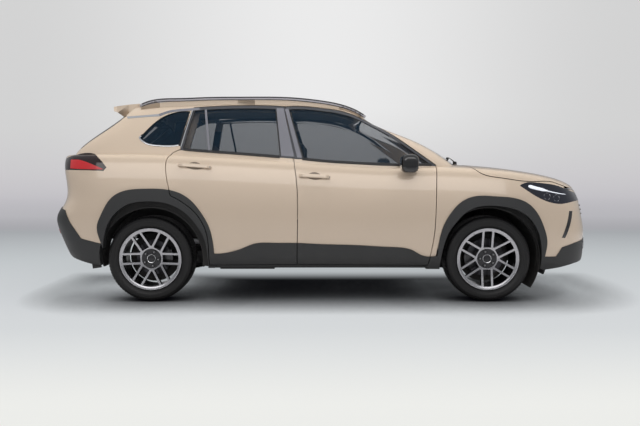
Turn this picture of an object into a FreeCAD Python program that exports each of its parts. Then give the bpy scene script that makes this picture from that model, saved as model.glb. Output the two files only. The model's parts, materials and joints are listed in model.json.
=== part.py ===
import FreeCAD
import Part
import Sketcher
import math
import os
from FreeCAD import Placement, Rotation, Vector

os.makedirs("parts", exist_ok=True)
doc = FreeCAD.newDocument("crossover_suv")

# Driving dimensions, in millimetres and degrees
DRIVING = {
    "wheelbase": 2640,
    "front_overhang": 950,
    "rear_overhang": 870,
    "body_half_width": 901,
    "body_bottom": 200,
    "shut_gap": 6,
    "door_depth": 85,
    "door_frame_depth": 42,
    "wall_depth": 140,
    "wall_frame_depth": 85,
    "panel_depth": 30,
    "trim_proud": 9,
    "trim_depth": 22,
    "glass_recess": 6,
    "glass_thickness": 5,
    "track_half": 780,
    "axle_height": 335,
    "tyre_radius": 335,
    "tyre_width": 225,
    "bead_radius": 229,
    "rim_half": 98,
    "rim_flange": 243,
    "spoke_pair_half": 38,
    "spoke_half_width": 8,
    "window_root": 84,
    "hub_face": 62,
    "hub_radius": 70,
    "hub_bore": 30.05,
    "spindle_radius": 30,
    "kingpin_half": 735,
    "seat_gap": 0.3,
    "gate_depth": 60,
    "gate_top_depth": 50,
    "gate_flange": 12,
    "gate_setback": 26,
    "wheelhouse_radius": 398,
    "wheelhouse_front_wall": 472,
    "wheelhouse_rear_wall": 640,
    "floor_bottom": 262,
    "floor_top": 296,
    "sill_outer": 806,
    "sill_inner": 700,
    "sill_top": 410,
    "firewall_front": 876,
    "firewall_rear": 846,
    "heel_board": -930,
    "cargo_floor_top": 600,
    "rail_bottom": 430,
    "rail_top": 540,
    "engine_length": 560,
    "engine_width": 720,
    "engine_tall": 440,
    "subframe_bottom": 200,
    "wheel_ring_radius": 180,
    "wheel_ring_section": 14,
}

sheet = doc.addObject("Spreadsheet::Sheet", "Sizes")
for row, (alias, value) in enumerate(DRIVING.items(), start=1):
    sheet.set("A%d" % row, alias)
    sheet.set("B%d" % row, str(value))
    sheet.setAlias("B%d" % row, alias)
doc.recompute()


def size(alias):
    return float(sheet.get(alias))


FRONT_AXLE = (size("wheelbase") + size("rear_overhang") - size("front_overhang")) / 2
REAR_AXLE = FRONT_AXLE - size("wheelbase")
NOSE = FRONT_AXLE + size("front_overhang")
TAIL = REAR_AXLE - size("rear_overhang")
HALF = size("body_half_width")
BOTTOM = size("body_bottom")
GAP = size("shut_gap")
TRACK = size("track_half")
AXLE_Z = size("axle_height")

# The outer form: two spline skins, each laid over a net of poles


def spline_face(poles):
    """A clamped cubic surface over a net of poles."""
    def knots(count):
        inner = count - 3
        return [float(k) for k in range(inner + 1)], [4] + [1] * (inner - 1) + [4]
    u_knots, u_mults = knots(len(poles))
    v_knots, v_mults = knots(len(poles[0]))
    surface = Part.BSplineSurface()
    surface.buildFromPolesMultsKnots(
        poles, u_mults, v_mults, u_knots, v_knots, False, False, 3, 3
    )
    return surface


def interpolate(table, x):
    """Straight-line reading of a table of (place, value) pairs."""
    if x <= table[0][0]:
        return table[0][1]
    for (x0, v0), (x1, v1) in zip(table, table[1:]):
        if x <= x1:
            return v0 + (v1 - v0) * (x - x0) / (x1 - x0)
    return table[-1][1]


def lerp(a, b, share):
    return a + (b - a) * share


# Heights of the shoulder, where the side turns over, and of the centre line of the deck and hood
SHOULDER = [(-2230, 1140), (-1900, 1156), (-1138, 1150), (-339, 1098), (519, 1042), (900, 1048),
            (1208, 1040),
            (1427, 1018), (1647, 985), (1794, 950), (1941, 905), (2030, 868), (2230, 855)]
CENTRE = [(-2230, 1150), (-1138, 1165), (519, 1080), (1000, 1094), (1200, 1082), (1450, 1056), (1700, 1016),
          (1850, 977), (1960, 936), (2030, 908)]
# Rows from the bottom edge up to the shoulder: share of shoulder height, half width share, tail x, nose x
LOWER_ROWS = [
    (0.00, 0.900, 230, -84),
    (0.09, 0.962, 150, -24),
    (0.21, 0.990, 104, -20),
    (0.36, 1.001, 52, -22),
    (0.49, 1.004, 14, -14),
    (0.61, 1.002, 120, -30),
    (0.74, 0.993, 120, -44),
    (0.88, 0.975, 90, -60),
    (1.00, 0.945, 96, -98),
]


def lower_net():
    """Poles of one half of the body below the glass, tail to side to nose, then up over the deck."""
    columns = [
        ("tail", -26, 0.00, -1985), ("tail", -24, 0.42, -1960), ("tail", 22, 0.80, -1900), ("tail", 165,
            0.975, -1830),
        ("side", REAR_AXLE - 340, 1.0, -1680), ("side", REAR_AXLE, 1.004, REAR_AXLE), ("side", -850, 0.992,
            -850),
        ("side", -150, 0.984, -150), ("side", 450, 0.984, 450), ("side", 850, 0.990, 850),
        ("side", FRONT_AXLE, 1.004, FRONT_AXLE), ("side", FRONT_AXLE + 370, 0.990, 1600), ("nose", -230,
            0.925, 1760),
        ("nose", -62, 0.70, 1880), ("nose", 12, 0.36, 1960), ("nose", 16, 0.00, 2000),
    ]
    net = []
    for kind, place, width, spine_x in columns:
        column = []
        for share, row_width, tail_x, nose_x in LOWER_ROWS:
            if kind == "tail":
                x = TAIL + tail_x + place
            elif kind == "nose":
                x = NOSE + nose_x + place
            else:
                x = place
            top = interpolate(SHOULDER, NOSE + LOWER_ROWS[-1][3] + place if kind == "nose" else x)
            z = BOTTOM + share * (top - BOTTOM)
            column.append(Vector(x, HALF * width * row_width, z))
        last = column[-1]
        spine = Vector(spine_x, 0, interpolate(CENTRE, spine_x))
        for plan_share, rise_share in ((0.10, 0.50), (0.45, 0.93), (1.0, 1.0)):
            column.append(Vector(
                lerp(last.x, spine.x, plan_share),
                lerp(last.y, spine.y, plan_share),
                lerp(last.z, spine.z, rise_share),
            ))
        net.append(column)
    return net


ROOF = [(-1650, 1545), (-1500, 1568), (-1200, 1592), (-850, 1605), (-450, 1608), (-100, 1599), (120, 1572),
        (280, 1532), (420, 1480)]
# Rows of the glasshouse sides: height, half width, x of the tail centre, tail corner, screen corner, screen centre
UPPER_ROWS = [
    (700, 850, -2040, -1975, 1010, 1200),
    (980, 838, -2050, -2005, 1060, 1270),
    (1130, 800, -2075, -2015, 880, 1082),
    (1260, 755, -1945, -1872, 682, 842),
    (1380, 710, -1808, -1735, 497, 632),
    (1490, 667, -1692, -1618, 330, 446),
    (1562, 634, -1640, -1550, 225, 385),
]
UPPER_BASE = UPPER_ROWS[0][0]
SIDE_X = [-1330, -880, -330, 60]
SPINE_X = [-1600, -1572, -1520, -1430, -1250, -860, -330, 20, 180, 270, 330, 350]


def upper_net():
    """Poles of one half of the glasshouse, backlight to side to screen, then up over the roof."""
    net = []
    for index, across in enumerate((0, 0.46, 0.88, 1.0, 1, 1, 1, 1, 1.0, 0.88, 0.5, 0)):
        column = []
        for height, half, tail, tail_corner, screen_corner, screen in UPPER_ROWS:
            corner_share = (0, 0.10, 0.55, 1.0)
            if index < 4:
                x = lerp(tail, tail_corner, corner_share[index])
            elif index < 8:
                x = SIDE_X[index - 4]
            else:
                x = lerp(screen, screen_corner, corner_share[11 - index])
            drop = interpolate(ROOF, max(-1600, min(x, 400))) - 1608
            share = max(0.0, (height - 1260) / (1562 - 1260))
            column.append(Vector(x, half * across, height + drop * share))
        last = column[-1]
        spine = Vector(SPINE_X[index], 0, interpolate(ROOF, SPINE_X[index]))
        for plan_share, rise_share in ((0.13, 0.72), (0.55, 0.96), (1.0, 1.0)):
            column.append(Vector(
                lerp(last.x, spine.x, plan_share),
                lerp(last.y, 0, plan_share),
                lerp(last.z, spine.z, rise_share),
            ))
        net.append(column)
    return net


def half_solid(net):
    """A closed half body: the spline skin, its bottom and the middle plane."""
    skin = spline_face(net)
    bottom = skin.vIso(0.0).toShape()
    tail = skin.uIso(0.0).toShape()
    nose = skin.uIso(float(len(net) - 3)).toShape()
    spine = skin.vIso(float(len(net[0]) - 3)).toShape()
    line = Part.makeLine(net[-1][0], net[0][0])
    base = Part.Face(Part.Wire(Part.__sortEdges__([bottom, line])))
    middle = Part.Face(Part.Wire(Part.__sortEdges__([tail, spine, nose, line])))
    shell = Part.makeShell([skin.toShape(), base, middle])
    shell.sewShape()
    solid = Part.makeSolid(Part.Shell(shell.Faces))
    if solid.Volume < 0:
        solid.reverse()
    return solid


def shrunk(net, middle_x, base_z, reach_x, reach_y, reach_z, depth, lean):
    """The net drawn in by depth on every side but its flat base; lean deepens the sloping ends."""
    along = 1 - lean * depth / reach_x
    across = 1 - depth / reach_y
    rise = 1 - depth / reach_z
    return [[Vector(middle_x + (p.x - middle_x) * along, p.y * across, base_z + (p.z - base_z) * rise)
             for p in column] for column in net]


MASTERS = {}


def master(low, high):
    """The left half of the outer form, drawn in by low below the glass line and by high above it."""
    if (low, high) not in MASTERS:
        lower = half_solid(shrunk(lower_net(), 0, BOTTOM, NOSE, HALF, 860, low, 1.0))
        upper = half_solid(shrunk(upper_net(), -400, UPPER_BASE, 1500, 720, 905, high, 1.4))
        MASTERS[(low, high)] = lower.fuse(upper)
    return MASTERS[(low, high)]


def layer(low0, high0, low1, high1, region):
    """The wall between two drawn-in forms, within a region."""
    return region.common(master(low0, high0)).cut(master(low1, high1))


class Outline:
    """A closed side-view outline of runs, each a straight line or a smooth curve through its points."""

    def __init__(self, *runs):
        self.runs = [list(run) for run in runs]

    def dense(self):
        out = []
        for run in self.runs:
            if len(run) == 2:
                out.append(list(run))
                continue
            curve = Part.BSplineCurve()
            curve.interpolate([Vector(x, 0, z) for x, z in run])
            count = 3 * (len(run) - 1)
            first, last = curve.FirstParameter, curve.LastParameter
            points = [curve.value(first + (last - first) * k / count) for k in range(count + 1)]
            out.append([(p.x, p.z) for p in points])
        return out

    def offset(self, distance):
        """The outline grown outwards by distance, or drawn in when it is negative."""
        runs = self.dense()
        area = 0.0
        flat = [p for run in runs for p in run[:-1]]
        for (x0, z0), (x1, z1) in zip(flat, flat[1:] + flat[:1]):
            area += x0 * z1 - x1 * z0
        sign = 1.0 if area > 0 else -1.0
        moved = []
        for run in runs:
            out = []
            for k, (x, z) in enumerate(run):
                xa, za = run[max(k - 1, 0)]
                xb, zb = run[min(k + 1, len(run) - 1)]
                length = math.hypot(xb - xa, zb - za)
                out.append((x + sign * distance * (zb - za) / length,
                            z - sign * distance * (xb - xa) / length))
            moved.append(out)
        for k, run in enumerate(moved):
            before = moved[k - 1]
            (x1, z1), (x2, z2) = before[-2], before[-1]
            (x3, z3), (x4, z4) = run[0], run[1]
            cross = (x2 - x1) * (z4 - z3) - (z2 - z1) * (x4 - x3)
            scale = math.hypot(x2 - x1, z2 - z1) * math.hypot(x4 - x3, z4 - z3)
            if abs(cross) > 0.15 * scale:
                t = ((x3 - x1) * (z4 - z3) - (z3 - z1) * (x4 - x3)) / cross
                corner = (x1 + t * (x2 - x1), z1 + t * (z2 - z1))
            else:
                corner = ((x2 + x3) / 2, (z2 + z3) / 2)
            before[-1] = corner
            run[0] = corner
        return Outline(*moved)

    def prism(self, y0=0.0, y1=1000.0):
        edges = []
        for run in self.runs:
            points = [Vector(x, y0, z) for x, z in run]
            if len(points) == 2:
                edges.append(Part.makeLine(points[0], points[1]))
            else:
                curve = Part.BSplineCurve()
                curve.interpolate(points)
                edges.append(curve.toShape())
        face = Part.Face(Part.Wire(edges))
        return face.extrude(Vector(0, y1 - y0, 0))


def polygon(points):
    closed = list(points) + [points[0]]
    return Outline(*[closed[k:k + 2] for k in range(len(points))])


def across(points, x0, x1):
    """A front-view outline of (y, z) points drawn out along the car."""
    wire = Part.makePolygon([Vector(x0, y, z) for y,
                             z in points] + [Vector(x0, points[0][0], points[0][1])])
    return Part.Face(wire).extrude(Vector(x1 - x0, 0, 0))


def block(x0, x1, y0, y1, z0, z1):
    return Part.makeBox(x1 - x0, y1 - y0, z1 - z0, Vector(x0, y0, z0))


def rod_y(x, z, y0, y1, radius):
    return Part.makeCylinder(radius, y1 - y0, Vector(x, y0, z), Vector(0, 1, 0))


def mirrored(shape):
    return shape.mirror(Vector(0, 0, 0), Vector(0, 1, 0))


def fused(first, *others):
    return first.fuse(list(others)).removeSplitter() if others else first


def both(shape):
    """One solid from a left half that reaches the middle plane."""
    return shape.fuse(mirrored(shape)).removeSplitter()


def pair(shape):
    return Part.makeCompound([shape, mirrored(shape)])


NODES = {}


def keep(name, shape):
    """A named piece whose shape is worked out from the sheet."""
    solids = [s for s in shape.Solids if s.Volume > 2000]
    shape = solids[0] if len(solids) == 1 else Part.makeCompound(solids)
    piece = doc.addObject("Part::Feature", name)
    piece.Label = name
    piece.Shape = shape
    NODES[name] = piece
    return piece


# Side-view outlines
MID_SHUT = [(-213, 290), (-211, 488), (-208, 701), (-216, 938), (-242, 1119), (-316, 1540)]
FRONT_DOOR = Outline(
    MID_SHUT,
    [(-316, 1540), (-155, 1541), (-34, 1529), (111, 1509), (252, 1466), (393, 1398), (531, 1317),
     (668, 1221),
     (802, 1123), (878, 1069)],
    [(878, 1069), (870, 899), (864, 691), (854, 524), (829, 369), (811, 284)],
    [(811, 284), (-213, 290)],
)
ARCH_EDGE = [(-1187, 833), (-1133, 806), (-1075, 768), (-1008, 712), (-950, 632), (-916, 549), (-903, 464),
             (-901, 385), (-899, 286)]
REAR_DOOR = Outline(
    MID_SHUT[::-1],
    [(-213, 290), (-899, 286)],
    ARCH_EDGE[::-1],
    [(-1187, 833), (-1204, 895), (-1227, 1027), (-1226, 1099), (-1190, 1165)],
    [(-1190, 1165), (-1134, 1191)],
    [(-1134, 1191), (-1050, 1532)],
    [(-1050, 1532), (-864, 1543), (-622, 1550), (-316, 1540)],
)
FRONT_OPENING = Outline(
    [(-166, 345), (-164, 488), (-161, 701), (-169, 938), (-195, 1119), (-264, 1490)],
    [(-264, 1490), (-155, 1493), (-34, 1481), (111, 1461), (240, 1419), (380, 1352), (515, 1270),
     (650, 1176),
     (770, 1093), (824, 1050)],
    [(824, 1050), (820, 899), (815, 691), (806, 524), (782, 400), (770, 345)],
    [(770, 345), (-166, 345)],
)
REAR_OPENING = Outline(
    [(-262, 345), (-259, 488), (-256, 701), (-264, 938), (-290, 1119), (-357, 1490)],
    [(-357, 1490), (-622, 1500), (-864, 1494), (-1010, 1484)],
    [(-1010, 1484), (-1082, 1185)],
    [(-1082, 1185), (-1160, 1110)],
    [(-1160, 1110), (-1170, 1000), (-1150, 905), (-1122, 850)],
    [(-1122, 850), (-1040, 800), (-970, 738), (-905, 655), (-862, 560), (-850, 464), (-848, 345)],
    [(-848, 345), (-262, 345)],
)
FRONT_WINDOW = Outline(
    [(-165, 1122), (-284, 1514)],
    [(-284, 1514), (-155, 1517), (-34, 1505), (111, 1484), (252, 1441), (393, 1373), (531, 1292),
     (668, 1196),
     (802, 1098), (828, 1079)],
    [(828, 1079), (519, 1077), (278, 1088), (44, 1101), (-165, 1122)],
)
REAR_WINDOW = Outline(
    [(-344, 1137), (-388, 1518)],
    [(-388, 1518), (-622, 1524), (-864, 1518), (-1040, 1506)],
    [(-1040, 1506), (-1112, 1196)],
    [(-1112, 1196), (-921, 1181), (-661, 1162), (-344, 1137)],
)
QUARTER_WINDOW = Outline(
    [(-1142, 1222), (-1076, 1500)],
    [(-1076, 1500), (-1223, 1484), (-1302, 1448), (-1387, 1374), (-1468, 1282)],
    [(-1468, 1282), (-1428, 1244), (-1373, 1223), (-1280, 1213), (-1190, 1213), (-1142, 1222)],
)
FRONT_ARCH_IN = [(908, 200), (911, 353), (930, 452), (970, 558), (1022, 630), (1092, 703), (1178, 745),
                 (1287, 756),
                 (1406, 745), (1515, 710), (1599, 649), (1651, 573), (1688, 454), (1698, 361), (1700, 200)]
FRONT_ARCH_OUT = [(882, 362), (888, 450), (927, 607), (986, 708), (1069, 791), (1153, 826), (1320, 828),
                  (1488, 810), (1573, 775), (1649, 699), (1701, 598), (1737, 456), (1732, 400), (1732, 200)]
REAR_ARCH_IN = [(-1730, 200), (-1725, 345), (-1713, 488), (-1673, 617), (-1604, 709), (-1511, 768),
                (-1368, 790),
                (-1243, 780), (-1159, 752), (-1076, 701), (-1000, 618), (-935, 506), (-915, 404), (-910,
                    200)]
REAR_ARCH_OUT = [(-1750, 200), (-1752, 523), (-1759, 600), (-1730, 676), (-1687, 759), (-1636, 822),
                 (-1535, 873),
                 (-1409, 886), (-1199, 877), (-1116, 852), (-1033, 797), (-949, 693), (-892, 583), (-870,
                     490),
                 (-862, 420), (-860, 200)]
CLAD_TOP = [(-884, 381), (-735, 392), (-641, 421), (-547, 458), (-400, 465), (-228, 464), (-34, 455),
            (246, 447),
            (519, 432), (633, 423), (691, 405), (762, 366), (824, 355), (899, 355)]
front_arch_in = Outline(FRONT_ARCH_IN, [(1700, 200), (1700, 100)], [(1700, 100), (908, 100)],
                        [(908, 100), (908, 200)])
front_arch_out = Outline(FRONT_ARCH_OUT, [(1732, 200), (1732, 100)], [(1732, 100), (800, 100)],
                         [(800, 100), (800, 352)], [(800, 352), (882, 362)])
rear_arch_in = Outline(REAR_ARCH_IN, [(-910, 200), (-910, 100)], [(-910, 100), (-1730, 100)],
                       [(-1730, 100), (-1730, 200)])
rear_arch_out = Outline(REAR_ARCH_OUT, [(-860, 200), (-860, 100)], [(-860, 100), (-1750, 100)],
                        [(-1750, 100), (-1750, 200)])
clad_below = Outline(CLAD_TOP, [(899, 355), (899, 100)], [(899, 100), (-884, 100)],
                     [(-884, 100), (-884, 381)])
HEADLAMP = Outline(
    [(1516, 909), (1573, 934), (1656, 932), (1782, 918), (1864, 898), (1960, 866), (2120, 842)],
    [(2120, 842), (2400, 842)],
    [(2400, 842), (2400, 792)],
    [(2400, 792), (2100, 786), (1949, 776), (1874, 766), (1799, 770), (1698, 800), (1605, 850)],
    [(1605, 850), (1516, 909)],
)
TAIL_LAMP = Outline(
    [(-1686, 1050), (-1740, 1112), (-1776, 1142)],
    [(-1776, 1142), (-1811, 1158), (-1897, 1163), (-1995, 1142), (-2300, 1130)],
    [(-2300, 1130), (-2300, 1022)],
    [(-2300, 1022), (-2005, 1030), (-1708, 1023)],
    [(-1708, 1023), (-1686, 1050)],
)
HOOD = Outline(
    [(1118, 1400), (1118, 1085)],
    [(1118, 1085), (1148, 1065), (1192, 1026), (1222, 1006), (1360, 974), (1514, 951), (1573, 945),
     (1656, 944),
     (1782, 941), (1864, 917), (1960, 889), (2120, 877)],
    [(2120, 877), (2400, 877)],
    [(2400, 877), (2400, 1400)],
    [(2400, 1400), (1118, 1400)],
)

panel = size("panel_depth")
door_low, door_high = size("door_depth"), size("door_frame_depth")
wall_low, wall_high = size("wall_depth"), size("wall_frame_depth")
proud, trim_depth = size("trim_proud"), size("trim_depth")
recess, pane = size("glass_recess"), size("glass_thickness")
skin_high = 25.0
OUTER = master(0, 0)

front_ring = front_arch_out.prism(600, 1000).cut(front_arch_in.prism(590, 1010))
rear_ring = rear_arch_out.prism(600, 1000).cut(rear_arch_in.prism(590, 1010))
clad_zone = clad_below.prism(600, 1000)
trim_layer = master(-proud, -proud).cut(master(trim_depth, trim_depth))

# Cups behind the door handles: the middle of each, seen from the side
CUPS = {"front": (-68, 1004), "rear": (-966, 1080)}
CUP_RADIUS, CUP_SINK = 52.0, 17.0


def cup(x, z):
    """A shallow round hollow in the outer skin."""
    probe = OUTER.common(block(x - 2, x + 2, 600, 1000, z - 2, z + 2)).BoundBox.YMax
    return Part.makeSphere(CUP_RADIUS, Vector(x, probe + CUP_RADIUS - CUP_SINK, z))


SCREEN_EDGE = [(0, 1068), (706, 1068), (694, 1110), (606, 1350), (560, 1475), (0, 1515)]
screen_room = across([(y + GAP if y else 0, z) for y, z in SCREEN_EDGE], 250, 1112)

# Doors, their panes and their lower cladding
for which, outline, window in (("front", FRONT_DOOR, FRONT_WINDOW), ("rear", REAR_DOOR, REAR_WINDOW)):
    shut = outline.offset(-GAP / 2)
    inner = outline.offset(-GAP / 2 - 18)
    flange = layer(0, 0, 20, 16, shut.prism(594))
    body = layer(10, 8, door_low, door_high, inner.prism(594))
    trim_zone = clad_zone if which == "front" else clad_zone.fuse(rear_ring)
    trim = trim_layer.common(trim_zone).common(shut.prism(300))
    hole = window.prism(300)
    door = flange.fuse(body).cut([hole, trim, screen_room]).removeSplitter().cut(cup(*CUPS[which]))
    glass = layer(recess, recess, recess + pane, recess + pane, window.prism(300))
    keep("door_%s_left" % which, door)
    keep("door_%s_right" % which, mirrored(door))
    keep("door_%s_glass_left" % which, glass)
    keep("door_%s_glass_right" % which, mirrored(glass))
    keep("door_%s_cladding_left" % which, trim)
    keep("door_%s_cladding_right" % which, mirrored(trim))

# Regions of the body shell
screen_zone = across(SCREEN_EDGE, 250, 1112)
roof_zone = block(-1500, 1400, -1, 585, 1400, 1700).cut(screen_zone)
TAILGATE_EDGE = [(0, 770), (600, 770), (640, 800), (650, 1020), (650, 1160), (628, 1240), (560, 1500),
                 (540, 1700),
                 (0, 1700)]
tailgate_zone = across(TAILGATE_EDGE, -2400, -1506)
gate_inner = across([(0, 800), (590, 800), (610, 830), (610, 1150), (575, 1260), (520, 1442), (0, 1442)],
                    -2400, -1506)
rear_bumper_zone = polygon([(-2400, 764), (-2100, 764), (-2028, 722), (-1760, 676), (-1690, 640),
                            (-1690, 100),
                            (-2400, 100)]).prism(-1, 1020)
rear_trim_zone = polygon([(-2400, 732), (-2112, 732), (-2032, 716), (-1984, 625), (-1936, 556),
                          (-1896, 498),
                          (-1722, 455), (-1680, 100), (-2400, 100)]).prism(-1, 1030)
below_rear = polygon([(-2400, 452), (-2140, 418), (-2096, 370), (-1998, 334), (-1829, 292), (-1600, 262),
                      (-1600, 90), (-2400, 90)]).prism(-2, 1040)
front_bumper_zone = polygon([(2400, 871), (1968, 871), (1880, 880), (1736, 830), (1638, 640), (1644, 100),
                             (2400, 100)]).prism(-1, 1020)
front_trim_zone = polygon([(2400, 470), (2100, 470), (1986, 454), (1869, 424), (1823, 352), (1690, 352),
                           (1690, 100), (2400, 100)]).prism(-1, 1030)
below_front = polygon([(1600, 234), (1719, 238), (1860, 256), (2003, 284), (2140, 296), (2400, 300),
                       (2400, 90), (1600, 90)]).prism(-2, 1040)
hood_zone = HOOD.prism(-1, 1040)
wheel_rear = rod_y(REAR_AXLE, AXLE_Z, size("wheelhouse_rear_wall"), 1000, size("wheelhouse_radius"))
house_rear = rod_y(REAR_AXLE, AXLE_Z, size("wheelhouse_rear_wall") - 12, 1000,
                   size("wheelhouse_radius") + 12)
house_front = rod_y(FRONT_AXLE, AXLE_Z, size("wheelhouse_front_wall") - 12, 1001,
                    size("wheelhouse_radius") + 12)
ring_depth_front, ring_depth_rear = 45.0, 60.0
arch_cut_rear = rear_arch_in.prism(size("wheelhouse_rear_wall"), 1000)
arch_cut_front = front_arch_in.prism(size("wheelhouse_front_wall"), 1000)

# Body side: rear quarter, sill, pillars and cantrail, with the door openings
side_zone = polygon([(-2400, 764), (-1760, 676), (-1690, 640), (-1690, 262), (884, 262), (884, 1060),
                     (1112, 1060),
                     (1112, 1700), (-2400, 1700)]).prism(300)
side = layer(0, 0, wall_low, wall_high, side_zone).cut([screen_zone, roof_zone])
deep = master(door_low + GAP, door_high + GAP)
side = side.cut([outline.offset(GAP / 2).prism(290, 1012).cut(deep) for outline in (FRONT_DOOR, REAR_DOOR)])
side = side.cut([FRONT_OPENING.prism(285, 1011), REAR_OPENING.prism(285, 1011)])
gate_low, gate_high = size("gate_depth"), size("gate_top_depth")
side = side.cut([tailgate_zone.cut(master(gate_low + GAP, gate_high + GAP)), gate_inner])
side = side.cut([rear_bumper_zone, rear_ring, house_rear, house_front])
side = side.cut([arch_cut_rear, QUARTER_WINDOW.prism(290, 1013),
                 TAIL_LAMP.prism(560, 1014).cut(master(90, 90))])
side = side.cut(front_ring.cut(master(ring_depth_front, ring_depth_front)))
# Hinge seats on the pillars, a running gap off the closed doors
seat_gap = size("seat_gap")
seats = [block(-262, -236, 500, 1000, 500, 580), block(-262, -236, 500, 1000, 860, 940),
         block(817, 838, 500, 1000, 600, 680), block(824, 845, 500, 1000, 880, 950)]
side = side.fuse([layer(door_low + seat_gap, door_high + seat_gap, door_low + GAP + 4, door_high + GAP + 4,
                        box)
                  for box in seats]).removeSplitter()
gate_seat = block(-1560, -1520, 200, 300, 1400, 1700).fuse(block(-2300, -1900, 560, 580, 860, 900))
side = side.fuse(layer(gate_low + seat_gap, gate_high + seat_gap, gate_low + 2 * GAP, gate_high + GAP + 4,
                       gate_seat.common(tailgate_zone)))
keep("body_side_left", side)
keep("body_side_right", mirrored(side))

keep("roof_panel", both(layer(0, 0, 60, skin_high, roof_zone)))
keep("windscreen", both(layer(2, 2, 2 + pane, 2 + pane, screen_zone)))
keep("quarter_windows", pair(layer(recess, recess, recess + pane, recess + pane,
                                   QUARTER_WINDOW.prism(300))))

# Front end
fender_zone = polygon([(884, 262), (1900, 262), (1900, 1130), (1112, 1130), (1112, 1060),
                       (884, 1060)]).prism(300)
fender = layer(0, 0, panel, panel, fender_zone)
lamp_box = layer(0, 0, 100, 100, HEADLAMP.prism(470))
front_well = front_arch_out.prism(290, 1012)
hood_room = HOOD.offset(GAP).prism(-1, 1050)
front_shut = FRONT_DOOR.offset(GAP / 2).prism(290, 1015)
fender = fender.cut([hood_room, front_well, front_bumper_zone, lamp_box, front_shut])
fender = max(fender.Solids, key=lambda solid: solid.Volume)
keep("front_fenders", pair(fender))

hood = layer(0, 0, 34, 34, hood_zone)
cowl_curve = Part.makeCylinder(1400, 800, Vector(1245 - 1400, 0, 700), Vector(0, 0, 1))
hood = hood.cut(cowl_curve)
keep("hood", both(hood))

bumper = layer(0, 0, 45, 45, front_bumper_zone).cut([lamp_box, arch_cut_front, front_ring])
bumper = bumper.cut([hood_room, below_front])
front_trim = layer(-4, -4, 45, 45, front_trim_zone).cut([arch_cut_front, front_ring, below_front])
deflector = block(1742, 1754, 640, 890, 166, 330).common(OUTER)
front_trim = front_trim.fuse(deflector).removeSplitter()
grille_zone = across([(0, 590), (520, 590), (640, 640), (650, 765), (462, 765), (450, 880), (0, 880)],
                     1900, 2400)
grille = layer(12, 12, 45, 45, grille_zone).cut(hood_room)
bumper = bumper.cut(front_trim).cut(grille_zone)
keep("front_bumper", both(bumper))
keep("front_bumper_trim", both(front_trim))
keep("front_grille", both(grille))
keep("headlamps", pair(lamp_box))

ring_front = master(-12,
                    -12).cut(master(ring_depth_front,
                                    ring_depth_front)).common(front_ring.common(block(600, 1800, 600, 1000,
                                        253, 1000)))
ring_front = ring_front.cut(FRONT_DOOR.offset(GAP / 2).prism(300))
ring_rear = master(-12,
                   -12).cut(master(ring_depth_rear, ring_depth_rear)).common(rear_ring.common(block(-1900,
                       -600, 600, 1000, 262, 1000)))
ring_rear = ring_rear.cut(REAR_DOOR.offset(GAP / 2).prism(300))
keep("arch_trims_front", pair(ring_front))
keep("arch_trims_rear", pair(ring_rear))

# Rear end
rear_room = [arch_cut_rear, rear_ring, wheel_rear, below_rear]
rear_bumper = layer(0, 0, 60, 60, rear_bumper_zone).cut(rear_room)
rear_trim = layer(-4, -4, 60, 60, rear_trim_zone).cut(rear_room)
rear_bumper = rear_bumper.cut(rear_trim).cut(tailgate_zone)
keep("rear_bumper", both(rear_bumper))
keep("rear_bumper_trim", both(rear_trim))
tail_lamp = TAIL_LAMP.prism(560).common(OUTER).cut(master(90, 90)).cut(tailgate_zone)
keep("tail_lamps", pair(tail_lamp))

# Tailgate: an outer flange up to the shut line, and a frame set back from it so that it swings clear


def gate_outline(inset):
    return across([(y - inset if y else 0, z + (GAP if z == 770 else 0)) for y, z in TAILGATE_EDGE], -2400,
                  -1506)


gate_shut = gate_outline(GAP)
gate_core = gate_outline(GAP + size("gate_setback"))
flange = size("gate_flange")
gate = gate_shut.common(OUTER).cut(master(gate_low, gate_high)).cut(master(flange, flange).cut(gate_core))
BACKLIGHT = [(0, 1232), (572, 1232), (556, 1272), (496, 1448), (0, 1462)]
PANE_EDGE = [(0, 1206), (618, 1206), (606, 1256), (548, 1474), (0, 1490)]
backlight = across(BACKLIGHT, -2400, -1400)
pane_zone = across(PANE_EDGE, -2400, -1506).common(gate_shut)
gate_glass = layer(1, 1, 1 + pane, 1 + pane, pane_zone)
gate = gate.cut(pane_zone.cut(master(1 + pane, 1 + pane))).cut(backlight)
keep("tailgate", both(gate))
keep("tailgate_glass", both(gate_glass))
SPOILER = [(-1512, 1470), (-1512, 1571), (-1600, 1564), (-1700, 1550), (-1766, 1538), (-1766, 1526),
           (-1694, 1500),
           (-1640, 1462), (-1590, 1430)]
spoiler = polygon(SPOILER).prism(0, 552).cut(OUTER)
spoiler = spoiler.common(Part.makeCylinder(3670, 2000, Vector(-1766 + 3670, 0, 0), Vector(0, 0, 1)))
spoiler = max(spoiler.Solids, key=lambda solid: solid.Volume)
keep("rear_spoiler", both(spoiler))

cowl_zone = cowl_curve.common(block(1112, 1300, 0, 760, 1000, 1200))
cowl_curve_in = Part.makeCylinder(1400 - GAP, 800, Vector(1245 - 1400, 0, 700), Vector(0, 0, 1))
cowl = layer(4, 4, 60, 60, cowl_zone.common(cowl_curve_in)).cut(fender)
keep("cowl_panel", both(cowl))

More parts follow.
